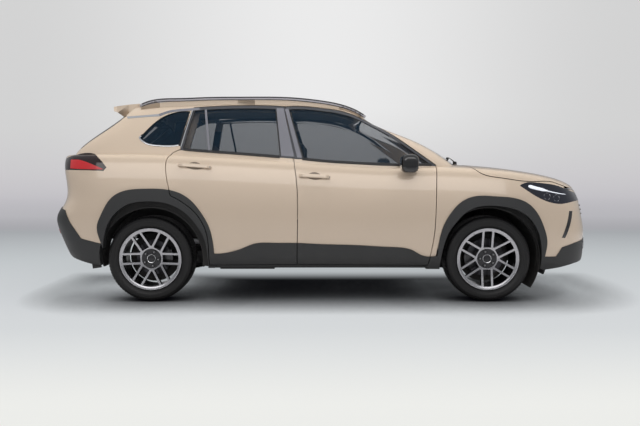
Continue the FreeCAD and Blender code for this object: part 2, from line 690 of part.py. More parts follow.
# Roof rails on their feet
RAIL_TOP = [(-1492, 1556), (-1400, 1592), (-1169, 1609), (-954, 1617), (-642, 1620), (-277, 1616),
            (-34, 1592),
            (136, 1560), (248, 1520), (338, 1466)]
RAIL_UNDER = [(330, 1450), (240, 1495), (130, 1534), (-34, 1566), (-277, 1590), (-642, 1595), (-954, 1592),
              (-1169, 1583), (-1385, 1563), (-1486, 1535)]
rail_outline = Outline(RAIL_TOP, [(338, 1466), (330, 1450)], RAIL_UNDER, [(-1486, 1535), (-1492, 1556)])
rail = rail_outline.prism(596, 624)
for x0, x1 in ((-1480, -1330), (-700, -560), (120, 300)):
    rail = rail.fuse(block(x0, x1, 598, 622, 1440, 1700).common(rail_outline.prism(597, 623).fuse(
        polygon([(x0, 1440), (x1, 1440), (x1, 1600), (x0, 1600)]).prism(597, 623)).common(
        Outline(RAIL_TOP, [(338, 1466), (338, 1300)], [(338, 1300), (-1492, 1300)],
                [(-1492, 1300), (-1492, 1556)])
        .prism(590, 630))))
rail = rail.removeSplitter().cut(OUTER)
keep("roof_rails", pair(rail))

# Door mirrors
MIRROR_SECTIONS = [(866, 606, 706, 1030, 1118, 30), (900, 584, 712, 1012, 1140, 40),
                   (960, 578, 714, 1006, 1150, 46),
                   (1000, 590, 708, 1012, 1144, 44), (1014, 612, 694, 1032, 1124, 32)]


def rounded_wire(y, x0, x1, z0, z1, radius):
    """A rounded rectangle in a plane across the car."""
    edges = []
    corners = [(x1 - radius, z1 - radius, 0), (x0 + radius, z1 - radius, 90),
               (x0 + radius, z0 + radius, 180),
               (x1 - radius, z0 + radius, 270)]
    ends = []
    for cx, cz, angle in corners:
        spots = [Vector(cx + radius * math.cos(math.radians(angle + turn)), y,
                        cz + radius * math.sin(math.radians(angle + turn))) for turn in (0, 45, 90)]
        ends.append((spots[0], spots[2]))
        edges.append(Part.Arc(*spots).toShape())
    sides = [Part.makeLine(ends[k][1], ends[(k + 1) % 4][0]) for k in range(4)]
    return Part.Wire([edge for duo in zip(edges, sides) for edge in duo])


mirror_head = Part.makeLoft([rounded_wire(*section) for section in MIRROR_SECTIONS], True)
mirror_foot = block(640, 720, 780, 900, 1022, 1052).fuse(block(650, 716, 760, 800, 1030, 1090))
mirror = mirror_head.fuse(mirror_foot).cut(OUTER).removeSplitter()
keep("mirror_left", mirror)
keep("mirror_right", mirrored(mirror))


class Term:
    """A length that is a named cell times a factor plus a constant."""

    def __init__(self, alias, add=0.0, times=1.0):
        self.alias, self.add, self.times = alias, add, times

    @property
    def value(self):
        return size(self.alias) * self.times + self.add

    @property
    def text(self):
        return "(Sizes.%s * %s + %s)" % (self.alias, repr(float(self.times)), repr(float(self.add)))


def text_of(length):
    return length.text if isinstance(length, Term) else "(%s)" % repr(float(length))


def value_of(length):
    return length.value if isinstance(length, Term) else float(length)


def bound_box(name, xs, ys, zs):
    """A box whose corners are bound to the sheet."""
    piece = doc.addObject("Part::Box", name)
    for key, (low, high) in (("Length", xs), ("Width", ys), ("Height", zs)):
        piece.setExpression(key, "(%s - %s) * 1 mm" % (text_of(high), text_of(low)))
    for key, (low, high) in (("x", xs), ("y", ys), ("z", zs)):
        piece.setExpression("Placement.Base.%s" % key, text_of(low))
    return piece


def bound_rod(name, radius, length, at, axis="y"):
    """A cylinder along one axis, its radius, length and foot bound to the sheet."""
    piece = doc.addObject("Part::Cylinder", name)
    piece.setExpression("Radius", "%s * 1 mm" % text_of(radius))
    piece.setExpression("Height", "%s * 1 mm" % text_of(length))
    turn = {"x": Rotation(Vector(0, 1, 0), 90), "y": Rotation(Vector(1, 0, 0), -90), "z": Rotation()}[axis]
    piece.Placement = Placement(Vector(*[value_of(v) for v in at]), turn)
    for key, place in zip("xyz", at):
        if isinstance(place, Term):
            piece.setExpression("Placement.Base.%s" % key, place.text)
    return piece


def joined(name, pieces, label=None):
    """Bound pieces fused into one."""
    whole = doc.addObject("Part::MultiFuse", name)
    whole.Shapes = pieces
    whole.Refine = True
    if label:
        whole.Label = label
        NODES[label] = whole
    return whole


def reflected(name, source, label=None):
    """The right-hand twin of a bound piece."""
    twin = doc.addObject("Part::Mirroring", name)
    twin.Source = source
    twin.Normal = Vector(0, 1, 0)
    twin.Base = Vector(0, 0, 0)
    if label:
        twin.Label = label
        NODES[label] = twin
    return twin


# Floor panels, bound to the sheet and then trimmed to the inside of the walls
T = Term


def span(sign, low, high):
    """A stretch across the car on one side."""
    if sign > 0:
        return (low, high)
    return tuple(T(end.alias, -end.add, -end.times) if isinstance(end, Term) else -end for end in (high,
        low))


SIDES = (("left", 1), ("right", -1))
floor_boxes = [
    bound_box("floor_plate", (T("heel_board", 30), T("firewall_rear")),
              (T("sill_outer", 0, -1), T("sill_outer")),
              (T("floor_bottom"), T("floor_top"))),
]
bulkhead_boxes = [
    bound_box("bulkhead_plate", (T("firewall_rear"), T("firewall_front")),
              (T("sill_outer", 0, -1), T("sill_outer")),
              (T("floor_bottom"), 1000)),
    bound_box("radiator_frame", (2010, 2040), (-465, 465), (320, 820)),
]
cargo_boxes = [
    bound_box("heel_plate", (T("heel_board"), T("heel_board", 30)),
              (T("sill_outer", 0, -1), T("sill_outer")),
              (T("floor_bottom"), T("cargo_floor_top"))),
    bound_box("cargo_plate", (-2110, T("heel_board", 30)), (T("sill_outer", 0, -1), T("sill_outer")),
              (T("cargo_floor_top", -30), T("cargo_floor_top"))),
    bound_box("rear_cross", (-2086, -2050), (-700, 700), (380, T("cargo_floor_top"))),
]
for side_name, sign in SIDES:
    floor_boxes.append(bound_box("sill_" + side_name, (T("heel_board", 30), T("firewall_rear")),
                                 span(sign, T("sill_inner"), T("sill_outer")), (T("floor_bottom"),
                                     T("sill_top"))))
    bulkhead_boxes.append(bound_box("front_rail_" + side_name, (T("firewall_rear"), 2040),
                                    span(sign, 405, 465),
                                    (T("rail_bottom"), T("rail_top"))))
    cargo_boxes.append(bound_box("rear_rail_" + side_name, (-2060, T("heel_board", 10)),
                                 span(sign, 480, 540),
                                 (480, T("cargo_floor_top", -10))))
panels = {"floor_pan": joined("floor_body", floor_boxes),
          "bulkhead": joined("bulkhead_body", bulkhead_boxes),
          "cargo_floor": joined("cargo_body", cargo_boxes)}
doc.recompute()


def wheelhouse(axle, wall, depth):
    """The sheet over one left wheel: a round roof and its inner wall."""
    radius = size("wheelhouse_radius")
    outside = rod_y(axle, AXLE_Z, wall - HOUSE_WALL, 880, radius + HOUSE_WALL)
    house = outside.common(master(depth, depth)).common(block(axle - 900, axle + 900, 0, 1000, HOUSE_FOOT,
                                                              900))
    return house.cut(rod_y(axle, AXLE_Z, wall, 1000, radius))


HOUSE_WALL = 12.0
HOUSE_FOOT = size("floor_bottom")
front_house = wheelhouse(FRONT_AXLE, size("wheelhouse_front_wall"), ring_depth_front)
hinge_post = block(1200, 1240, 590, 640, 690, 1100).common(master(34 + seat_gap, 34 + seat_gap))
front_house = front_house.fuse(hinge_post).cut(rod_y(FRONT_AXLE, AXLE_Z, size("wheelhouse_front_wall"),
                                                     1000,
                                                     size("wheelhouse_radius")))
rear_house = wheelhouse(REAR_AXLE, size("wheelhouse_rear_wall"), ring_depth_rear)
rear_house = rear_house.cut([
    block(REAR_AXLE - 420, REAR_AXLE + 420, size("wheelhouse_rear_wall") - 20,
          size("wheelhouse_rear_wall") + 1,
          200, 470),
    block(size("heel_board") - 25, size("heel_board") + 40, 560, 900, 200, 560),
])
clear_rear = rod_y(REAR_AXLE, AXLE_Z, size("wheelhouse_rear_wall") - HOUSE_WALL, 1000,
                   size("wheelhouse_radius"))
clear_front = rod_y(FRONT_AXLE, AXLE_Z, size("wheelhouse_front_wall"), 1000, size("wheelhouse_radius"))
inside = both(master(wall_low, wall_high))
house_room = fused(clear_front, clear_rear, front_house, rear_house)
for name, boxes in panels.items():
    panel_shape = boxes.Shape.common(inside).cut([house_room, mirrored(house_room)])
    keep(name, panel_shape.removeSplitter())
keep("front_wheelhouses", pair(front_house.removeSplitter()))
keep("rear_wheelhouses", pair(rear_house.removeSplitter()))

# Dashboard with the steering column's stub
COLUMN_AT = Vector(430, 370, 905)
COLUMN_TILT = 24.0
column_axis = Vector(-math.cos(math.radians(COLUMN_TILT)), 0, math.sin(math.radians(COLUMN_TILT)))
dash = polygon([(846, 600), (846, 1005), (760, 1030), (620, 1005), (570, 940), (590, 780),
                (720, 600)]).prism(-690, 690)
stub = Part.makeCylinder(15, 270, COLUMN_AT - column_axis * 240, column_axis)
stub_shroud = Part.makeCylinder(38, 120, COLUMN_AT - column_axis * 190, column_axis)
keep("dashboard", dash.fuse([stub, stub_shroud]).removeSplitter())

# Steering wheel
ring = Part.makeTorus(size("wheel_ring_radius"), size("wheel_ring_section"), COLUMN_AT + column_axis * 30,
                      column_axis)
hub = Part.makeCylinder(34, 50, COLUMN_AT, column_axis).cut(Part.makeCylinder(15.05, 36, COLUMN_AT,
    column_axis))
side_bar = Part.makeBox(20, 2 * size("wheel_ring_radius"), 36, Vector(-10, -size("wheel_ring_radius"), -18))
low_bar = Part.makeBox(20, 40, size("wheel_ring_radius"), Vector(-10, -20, -size("wheel_ring_radius")))
bars = side_bar.fuse(low_bar)
bars.Placement = Placement(COLUMN_AT + column_axis * 30, Rotation(Vector(0, 1, 0), COLUMN_TILT))
bars = bars.cut(Part.makeCylinder(20, 60, COLUMN_AT - column_axis * 20, column_axis))
wheel = ring.fuse([bars, hub]).removeSplitter()
wheel = wheel.cut(Part.makeCylinder(15.05, 56, COLUMN_AT - column_axis * 20, column_axis))
keep("steering_wheel", wheel)

# Seats
front_seat = joined("front_seat_solid", [
    bound_box("seat_base", (-60, 400), (180, 580), (T("floor_top"), 420)),
    bound_box("seat_cushion", (-110, 440), (130, 630), (420, 540)),
    bound_box("seat_back", (-260, -110), (140, 620), (420, 1090)),
    bound_box("seat_head", (-250, -150), (260, 500), (1090, 1270)),
])
joined("bench_solid", [
    bound_box("bench_base", (T("heel_board", 30), -420), (-560, 560), (T("floor_top"), 430)),
    bound_box("bench_cushion", (-860, -380), (-630, 630), (430, 560)),
    bound_box("bench_back", (T("heel_board", 30), -800), (-630, 630), (430, 1120)),
    bound_box("bench_foot", (T("heel_board", -60), -840), (-630, 630), (T("cargo_floor_top"), 700)),
], "rear_bench")
seat_right = reflected("front_seat_twin", front_seat)
doc.recompute()
keep("front_seats", Part.makeCompound([front_seat.Shape, seat_right.Shape]))

# Engine as one plain block on the subframe
engine = bound_box("engine_solid", (1130, T("engine_length", 1130)),
                   (T("engine_width", 0, -0.5), T("engine_width", 0, 0.5)), (330, T("engine_tall", 330)))
engine_feet = bound_box("engine_feet", (1200, 1380), (-200, 200), (270, 340))
joined("engine_whole", [engine, engine_feet], "engine_block")
pieces = [bound_box("cross_member", (1180, 1400), (-459, 459), (T("subframe_bottom", 10), 270))]
for side_name, sign in (("left", 1), ("right", -1)):
    low = T("subframe_bottom", -5)
    top = T("subframe_bottom", 25)
    pieces.append(bound_box("arm_" + side_name, (1250, 1310), (440, 760) if sign > 0 else (-760, -440),
                            (low, top)))
    pieces.append(bound_box("post_" + side_name, (1200, 1380), (410, 459) if sign > 0 else (-459, -410),
                            (260, T("rail_bottom"))))
    pieces.append(bound_rod("strut_" + side_name, 36, 500, (1280, 575 * sign, T("subframe_bottom", 10)),
                            "z"))
joined("subframe_whole", pieces, "front_subframe")

# Knuckle: boss above the ball seat, carrier and spindle
knuckle = joined("knuckle_solid", [
    bound_rod("knuckle_boss", 20, 75, (1280, T("kingpin_half"), T("subframe_bottom", 25.3)), "z"),
    bound_rod("knuckle_carrier", 70, 45, (1280, 700, T("axle_height"))),
    bound_rod("knuckle_spindle", T("spindle_radius"), 117, (1280, 705, T("axle_height"))),
], "knuckle_left")
reflected("knuckle_twin", knuckle, "knuckle_right")

# Rear axle beam with its trailing arms and stub axles
pieces = [bound_rod("beam_tube", 45, 1200, (-1130, -600, 300))]
for side_name, sign in (("left", 1), ("right", -1)):
    pieces.append(bound_box("trail_arm_" + side_name, (-1420, T("heel_board")),
                            (590, 640) if sign > 0 else (-640, -590),
                            (270, 370)))
    pieces.append(bound_rod("stub_" + side_name, T("spindle_radius"), 222,
                            (-1360, 600 if sign > 0 else -822, T("axle_height"))))
    pieces.append(bound_rod("flange_" + side_name, 62, 110,
                            (-1360, 630 if sign > 0 else -740, T("axle_height"))))
joined("axle_whole", pieces, "rear_axle_beam")

# Fuel tank and exhaust
bound_box("tank_solid", (-880, -420), (-480, 240), (192, T("floor_bottom")))
tank = doc.getObject("tank_solid")
tank.Label = "fuel_tank"
NODES["fuel_tank"] = tank
pipe_z = 261.7 - 25
pipe_path = Part.makePolygon([Vector(1150, 300, pipe_z), Vector(-985, 300, pipe_z), Vector(-1060, 300, 440),
                              Vector(-1800, 300, 480)])
pipe_end = Part.Wire(Part.makeCircle(25, Vector(1150, 300, pipe_z), Vector(1, 0, 0)))
pipe = Part.Wire(pipe_path.Edges).makePipeShell([pipe_end], True, False, 1)
muffler = block(-2030, -1780, -80, 420, 400, 569.7)
muffler = muffler.makeFillet(40, [e for e in muffler.Edges if abs(e.BoundBox.YLength) > 400])
keep("exhaust_pipe", pipe.fuse(muffler).removeSplitter())


def profile(body, name, plane, points):
    """A closed sketch of straight sides with every corner bound to the sheet."""
    sketch = body.newObject("Sketcher::SketchObject", name)
    origin = [f for f in body.Origin.OriginFeatures if f.Role == plane][0]
    sketch.AttachmentSupport = [(origin, "")]
    sketch.MapMode = "FlatFace"
    count = len(points)
    spots = [Vector(value_of(a), value_of(b), 0) for a, b in points]
    for k in range(count):
        sketch.addGeometry(Part.LineSegment(spots[k], spots[(k + 1) % count]), False)
    for k in range(count):
        sketch.addConstraint(Sketcher.Constraint("Coincident", k, 2, (k + 1) % count, 1))
    for k, (a, b) in enumerate(points):
        for kind, length in (("DistanceX", a), ("DistanceY", b)):
            value = value_of(length)
            ends = (-1, 1, k, 1) if value >= 0 else (k, 1, -1, 1)
            index = sketch.addConstraint(Sketcher.Constraint(kind, *ends, abs(value)))
            if isinstance(length, Term):
                text = length.text if value >= 0 else "-1 * " + length.text
                sketch.setExpression("Constraints[%d]" % index, "%s * 1 mm" % text)
    return sketch


def revolved(body, name, points):
    """A turned solid about the wheel's axis from (across, radius) corners."""
    sketch = profile(body, name + "_profile", "YZ_Plane", points)
    turn = body.newObject("PartDesign::Revolution", name)
    turn.Profile = sketch
    turn.ReferenceAxis = (sketch, ["H_Axis"])
    turn.Angle = 360
    doc.recompute()
    return turn


def window_corners(flank_a, flank_b, direction_a, direction_b, root, outer):
    """Corners of one opening between two spoke flanks, its outer side bent along a circle.

    Each flank is a line at a distance from the axis, parallel to its pair's direction.
    """
    def along(direction, offset, radius):
        reach = math.sqrt(radius ** 2 - offset ** 2)
        c, s = math.cos(math.radians(direction)), math.sin(math.radians(direction))
        return (reach * s + offset * c, reach * c - offset * s)
    first, last = along(direction_a, flank_a, outer), along(direction_b, flank_b, outer)
    start, end = math.atan2(first[0], first[1]), math.atan2(last[0], last[1])
    arc = [(outer * math.sin(start + (end - start) * k / 5),
            outer * math.cos(start + (end - start) * k / 5))
           for k in range(6)]
    return arc + [along(direction_b, flank_b, root), along(direction_a, flank_a, root)]


rim = doc.addObject("PartDesign::Body", "rim_solid")
revolved(rim, "rim_turned", [
    (T("rim_half", 0, -1), T("bead_radius", -10)), (T("rim_half", 0, -1), T("rim_flange")),
    (T("rim_half", 8, -1), T("rim_flange")), (T("rim_half", 8, -1), T("bead_radius")),
    (T("rim_half", -8), T("bead_radius")), (T("rim_half", -8), T("rim_flange")),
    (T("rim_half"), T("rim_flange")), (T("rim_half"), T("rim_flange", -10)), (T("rim_half", -5),
        T("bead_radius", -5)),
    (T("hub_face", 14), 150), (T("hub_face"), T("hub_radius", 8)), (T("hub_face", 1), 0),
    (50, 0), (50, T("hub_bore")), (-18, T("hub_bore")), (-18, T("hub_radius", 2)), (26, T("hub_radius", 4)),
    (38, 150), (60, T("bead_radius", -8)),
])
half_pair, half_spoke, root = size("spoke_pair_half"), size("spoke_half_width"), size("window_root")
outer = size("bead_radius") - 10
slot_flank, gap_flank = half_pair - half_spoke, half_pair + half_spoke
apex = gap_flank / math.sin(math.radians(30)) + 8
for name, corners in (
    ("slot_window", window_corners(-slot_flank, slot_flank, 0, 0, root + 8, outer)),
    ("gap_window", window_corners(gap_flank, -gap_flank, 0, 60, apex, outer)),
):
    pocket = rim.newObject("PartDesign::Pocket", name)
    pocket.Profile = profile(rim, name + "_profile", "XZ_Plane", corners)
    pocket.Type = 1
    pocket.Midplane = True
    doc.recompute()
    pattern = rim.newObject("PartDesign::PolarPattern", name + "s")
    pattern.Originals = [pocket]
    pattern.Axis = (pocket.Profile[0], ["N_Axis"])
    pattern.Angle = 360
    pattern.Occurrences = 6
    rim.Tip = pattern
    doc.recompute()
tyre = doc.addObject("PartDesign::Body", "tyre_solid")
TYRE_FLANK = [(-22.5, "bead_radius", 0.02), (-22.5, "rim_flange", 3), (-10, "rim_flange", 12),
              (-2, "rim_flange", 28),
              (0, "rim_flange", 44), (-2, "tyre_radius", -30), (-8, "tyre_radius", -17), (-18,
                  "tyre_radius", -8),
              (-34, "tyre_radius", -2.5), (-62, "tyre_radius", 0)]
revolved(tyre, "tyre_turned",
         [(T("tyre_width", -inset, -0.5), T(ring, more)) for inset, ring, more in TYRE_FLANK]
         + [(T("tyre_width", inset, 0.5), T(ring, more)) for inset, ring, more in TYRE_FLANK[::-1]])
doc.recompute()
WHEELS = (("front_left", FRONT_AXLE, 1, 0), ("front_right", FRONT_AXLE, -1, 0),
          ("rear_left", REAR_AXLE, 1, 30),
          ("rear_right", REAR_AXLE, -1, 30))
for name, axle, sign, spin in WHEELS:
    turn = Rotation(Vector(0, 0, 1), 0 if sign > 0 else 180).multiply(Rotation(Vector(0, 1, 0), spin))
    for kind, source in (("rim", rim), ("tyre", tyre)):
        twin = doc.addObject("PartDesign::Body", "%s_%s" % (kind, name))
        feature = twin.newObject("PartDesign::FeatureBase", "%s_%s_form" % (kind, name))
        feature.BaseFeature = source
        twin.BaseFeature = source
        twin.Placement = Placement(Vector(axle, sign * TRACK, AXLE_Z), turn)
        twin.Label = "%s_%s" % (kind, name)
        NODES[twin.Label] = twin
doc.recompute()

for piece in doc.Objects:
    if "Invalid" in piece.State or "Error" in piece.State:
        raise RuntimeError("%s did not build: %s" % (piece.Label, piece.State))
for name, piece in NODES.items():
    shape = piece.Shape
    if shape.isNull() or not shape.isValid() or not shape.Solids:
        raise RuntimeError("%s has no sound solid" % name)
    shape.exportStep("parts/%s.step" % name)
print(len(NODES), "pieces")
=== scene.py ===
"""Looks of a family crossover: paint, glass, cladding, wheels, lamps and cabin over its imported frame."""

import json
import logging
import math
from dataclasses import dataclass, field
from enum import Enum

import bmesh
import bpy
import numpy as np
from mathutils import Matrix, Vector
from mathutils.kdtree import KDTree


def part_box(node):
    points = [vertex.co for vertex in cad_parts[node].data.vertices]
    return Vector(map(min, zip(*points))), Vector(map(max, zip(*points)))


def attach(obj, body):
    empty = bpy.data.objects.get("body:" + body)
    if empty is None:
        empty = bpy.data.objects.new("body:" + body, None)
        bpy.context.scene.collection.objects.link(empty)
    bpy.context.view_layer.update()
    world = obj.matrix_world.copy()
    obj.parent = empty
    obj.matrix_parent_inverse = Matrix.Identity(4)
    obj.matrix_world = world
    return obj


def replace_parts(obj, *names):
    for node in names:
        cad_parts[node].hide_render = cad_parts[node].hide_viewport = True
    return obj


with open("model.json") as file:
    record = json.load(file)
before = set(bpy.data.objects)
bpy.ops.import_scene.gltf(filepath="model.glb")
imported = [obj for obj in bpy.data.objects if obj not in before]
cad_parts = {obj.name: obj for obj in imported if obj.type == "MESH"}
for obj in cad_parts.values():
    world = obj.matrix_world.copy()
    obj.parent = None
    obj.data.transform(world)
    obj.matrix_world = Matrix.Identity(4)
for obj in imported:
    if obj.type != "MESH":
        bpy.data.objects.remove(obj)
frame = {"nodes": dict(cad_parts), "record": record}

log = logging.getLogger("crossover")
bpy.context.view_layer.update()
MM = 0.001
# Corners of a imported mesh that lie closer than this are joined
WELD = 2e-5
# Height of the wheel centres
WHEEL_HEIGHT = 0.335
# How far a thin trim piece stands off the skin, and how thick it is
TRIM = (0.0012, 0.004)


class Side(Enum):
    """The two sides of the car, valued by the sign of y."""

    LEFT = 1
    RIGHT = -1

    @property
    def word(self) -> str:
        """The side's name in node and body names."""
        return self.name.lower()


class Axle(Enum):
    """The two axles, valued by their place along the car in metres."""

    FRONT = 1.280
    REAR = -1.360

    @property
    def word(self) -> str:
        """The axle's name in node and body names."""
        return self.name.lower()


# Colours are written as linear red, green and blue
Colour = tuple[float, float, float]
# Places in a view that a curve passes through
Knots = tuple[tuple[float, float], ...]


def srgb(red: int, green: int, blue: int) -> Colour:
    """Linear colour of an eight-bit screen colour.

    Args:
        red: red, 0 to 255.
        green: green, 0 to 255.
        blue: blue, 0 to 255.

    Returns:
        The linear colour.
    """
    values = np.array([red, green, blue]) / 255.0
    linear = np.where(values <= 0.04045, values / 12.92, ((values + 0.055) / 1.055) ** 2.4)
    return tuple(float(v) for v in linear)


def wired(tree: bpy.types.NodeTree, kind: str, inputs: dict[str | int, object] | None = None,
          **settings: object) -> bpy.types.Node:
    """A new shader node with its settings and inputs in place.

    Args:
        tree: the node tree it goes in.
        kind: its type, without the leading ShaderNode.
        inputs: for each input, by name or number, the socket that feeds it or its constant.
        settings: the node's own properties.

    Returns:
        The node.
    """
    node = tree.nodes.new("ShaderNode" + kind)
    for key, value in settings.items():
        setattr(node, key, value)
    for key, value in (inputs or {}).items():
        if isinstance(value, bpy.types.NodeSocket):
            tree.links.new(value, node.inputs[key])
        else:
            node.inputs[key].default_value = value
    return node


class Groups:
    """Shader node groups that several finishes share, each built once."""

    made: dict[str, bpy.types.NodeTree] = {}

    @classmethod
    def tree(cls, name: str, inputs: dict[str, float], outputs: dict[str, str]) -> bpy.types.NodeTree:
        """An empty group with float inputs and the outputs asked for.

        Args:
            name: the group's name.
            inputs: each float input and its default.
            outputs: each output and its socket type.

        Returns:
            The new node tree with its input and output nodes.
        """
        tree = bpy.data.node_groups.new(name, "ShaderNodeTree")
        for key, value in inputs.items():
            socket = tree.interface.new_socket(key, in_out="INPUT", socket_type="NodeSocketFloat")
            socket.default_value = value
        for key, kind in outputs.items():
            tree.interface.new_socket(key, in_out="OUTPUT", socket_type=kind)
        tree.nodes.new("NodeGroupInput").name = "in"
        tree.nodes.new("NodeGroupOutput").name = "out"
        cls.made[name] = tree
        return tree

    @classmethod
    def grain(cls) -> bpy.types.NodeTree:
        """Fine moulded grain: a noise height and a slow mottling value, both from Object coordinates."""
        if "moulded_grain" in cls.made:
            return cls.made["moulded_grain"]
        tree = cls.tree("moulded_grain", {"Size": 900.0, "Depth": 0.2},
                        {"Mottle": "NodeSocketFloat", "Normal": "NodeSocketVector"})
        given, result = tree.nodes["in"].outputs, tree.nodes["out"].inputs
        place = wired(tree, "TexCoord").outputs["Object"]
        fine = wired(tree, "TexNoise", {"Vector": place, "Scale": given["Size"], "Detail": 2.0})
        slow = wired(tree, "TexNoise", {"Vector": place, "Scale": 6.0, "Detail": 3.0})
        bump = wired(tree, "Bump",
                     {"Distance": 0.0004, "Strength": given["Depth"], "Height": fine.outputs["Fac"]})
        tree.links.new(slow.outputs["Fac"], result["Mottle"])
        tree.links.new(bump.outputs["Normal"], result["Normal"])
        return tree

    @classmethod
    def road_film(cls) -> bpy.types.NodeTree:
        """Mask of the faint dust that gathers low on the car: falls with height, broken up by noise."""
        if "road_film" in cls.made:
            return cls.made["road_film"]
        tree = cls.tree("road_film", {"Top": 0.5, "Amount": 0.3}, {"Mask": "NodeSocketFloat"})
        given = tree.nodes["in"].outputs
        place = wired(tree, "TexCoord").outputs["Object"]
        parts = wired(tree, "SeparateXYZ", {"Vector": place})
        rise = wired(tree, "MapRange",
                     {"Value": parts.outputs["Z"], "From Min": 0.0, "From Max": given["Top"], "To Min": 1.0,
                      "To Max": 0.0})
        noise = wired(tree, "TexNoise", {"Vector": place, "Scale": 9.0, "Detail": 5.0})
        broken = wired(tree, "Math", {0: rise.outputs["Result"], 1: noise.outputs["Fac"]},
                       operation="MULTIPLY")
        scaled = wired(tree, "Math", {0: broken.outputs["Value"], 1: given["Amount"]}, operation="MULTIPLY")
        tree.links.new(scaled.outputs["Value"], tree.nodes["out"].inputs["Mask"])
        return tree


def linked(name: str, mesh: bpy.types.Mesh, body: str, slot: str) -> bpy.types.Object:
    """A mesh as an object of the scene that rides on its body.

    Args:
        name: the object's name.
        mesh: its mesh.
        body: the body it rides on.
        slot: the record's material slot; not used.

    Returns:
        The object.
    """
    piece = bpy.data.objects.new(name, mesh)
    bpy.context.scene.collection.objects.link(piece)
    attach(piece, body)
    return piece


def welded(node: str) -> bmesh.types.BMesh:
    """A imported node's surface with its loose corners joined."""
    shape = bmesh.new()
    shape.from_mesh(frame["nodes"][node].data)
    bmesh.ops.remove_doubles(shape, verts=shape.verts, dist=WELD)
    return shape


def read_out(items: bpy.types.bpy_prop_collection, key: str, width: int = 3) -> np.ndarray:
    """A property of every item of a mesh.

    Args:
        items: the mesh's vertices, loops or polygons.
        key: the property's name.
        width: how many floats each item has, or 0 for one whole number each.

    Returns:
        Rows of floats, or one row of whole numbers.
    """
    found = np.empty(len(items) * max(width, 1), dtype=np.float64 if width else np.int32)
    items.foreach_get(key, found)
    return found.reshape(-1, width) if width else found


@dataclass(frozen=True)
class Finish:
    """A surface finish; its constants sit on the shader's own sockets."""

    name: str
    colour: Colour
    roughness: float = 0.5
    metallic: float = 0.0
    coat: float = 0.0
    coat_roughness: float = 0.03
    alpha: float = 1.0
    ior: float = 1.5
    grain_size: float = 0.0
    grain_depth: float = 0.2
    mottle: float = 0.0
    dust: float = 0.0
    sheen: float = 0.0
    glow: Colour | None = None
    glow_strength: float = 0.0

    def material(self) -> bpy.types.Material:
        """The finish as a material, built once."""
        known = bpy.data.materials.get(self.name)
        if known:
            return known
        material = bpy.data.materials.new(self.name)
        material.use_nodes = True
        tree = material.node_tree
        shader = tree.nodes["Principled BSDF"]
        values = {"Base Color": (*self.colour, 1.0), "Roughness": self.roughness, "Metallic": self.metallic,
                  "Coat Weight": self.coat, "Coat Roughness": self.coat_roughness, "Alpha": self.alpha,
                  "IOR": self.ior, "Sheen Weight": self.sheen}
        for key, value in values.items():
            shader.inputs[key].default_value = value
        if self.glow:
            shader.inputs["Emission Color"].default_value = (*self.glow, 1.0)
            shader.inputs["Emission Strength"].default_value = self.glow_strength
        if self.grain_size or self.mottle:
            grain = wired(tree, "Group", {"Size": self.grain_size or 400.0, "Depth": self.grain_depth},
                          node_tree=Groups.grain())
            if self.grain_size:
                tree.links.new(grain.outputs["Normal"], shader.inputs["Normal"])
            self.vary(material, grain.outputs["Mottle"], shader)
        if self.dust:
            self.add_dust(material, shader)
        self.extend(material, shader)
        return material

    def vary(self, material: bpy.types.Material, mottle: bpy.types.NodeSocket,
             shader: bpy.types.Node) -> None:
        """Roughness that wanders a little about its value with the mottle.

        Args:
            material: the material in hand.
            mottle: the slow noise.
            shader: the material's shader.
        """
        tree = material.node_tree
        spread = wired(tree, "MapRange",
                       {"Value": mottle, "To Min": max(0.0, self.roughness - self.mottle),
                        "To Max": self.roughness + self.mottle})
        tree.links.new(spread.outputs["Result"], shader.inputs["Roughness"])

    def add_dust(self, material: bpy.types.Material, shader: bpy.types.Node) -> None:
        """A pale film on the lowest parts.

        Args:
            material: the material in hand.
            shader: the material's shader.
        """
        tree = material.node_tree
        film = wired(tree, "Group", {"Amount": self.dust}, node_tree=Groups.road_film())
        mixed = wired(tree, "Mix",
                      {"Factor": film.outputs["Mask"], "A": (*self.colour, 1.0),
                       "B": (0.26, 0.24, 0.21, 1.0)}, data_type="RGBA")
        tree.links.new(mixed.outputs["Result"], shader.inputs["Base Color"])

    def extend(self, material: bpy.types.Material, shader: bpy.types.Node) -> None:
        """Room for a finish of its own kind to add nodes."""


@dataclass(frozen=True)
class PaintFinish(Finish):
    """Body paint: a warm base with fine metal flake under a clear coat."""

    flake: float = 0.05

    def extend(self, material: bpy.types.Material, shader: bpy.types.Node) -> None:
        """Adds flake as a fine change of colour about the base colour.

        Args:
            material: the material in hand.
            shader: the material's shader.
        """
        tree = material.node_tree
        place = wired(tree, "TexCoord")
        cells = wired(tree, "TexVoronoi", {"Vector": place.outputs["Object"], "Scale": 1400.0})
        grey = wired(tree, "SeparateColor", {"Color": cells.outputs["Color"]})
        low = tuple(c * (1 - self.flake) for c in self.colour)
        high = tuple(min(1.0, c * (1 + self.flake)) for c in self.colour)
        bright = wired(tree, "Mix", {"Factor": grey.outputs["Red"], "A": (*low, 1.0), "B": (*high, 1.0)},
                       data_type="RGBA")
        tree.links.new(bright.outputs["Result"], shader.inputs["Base Color"])


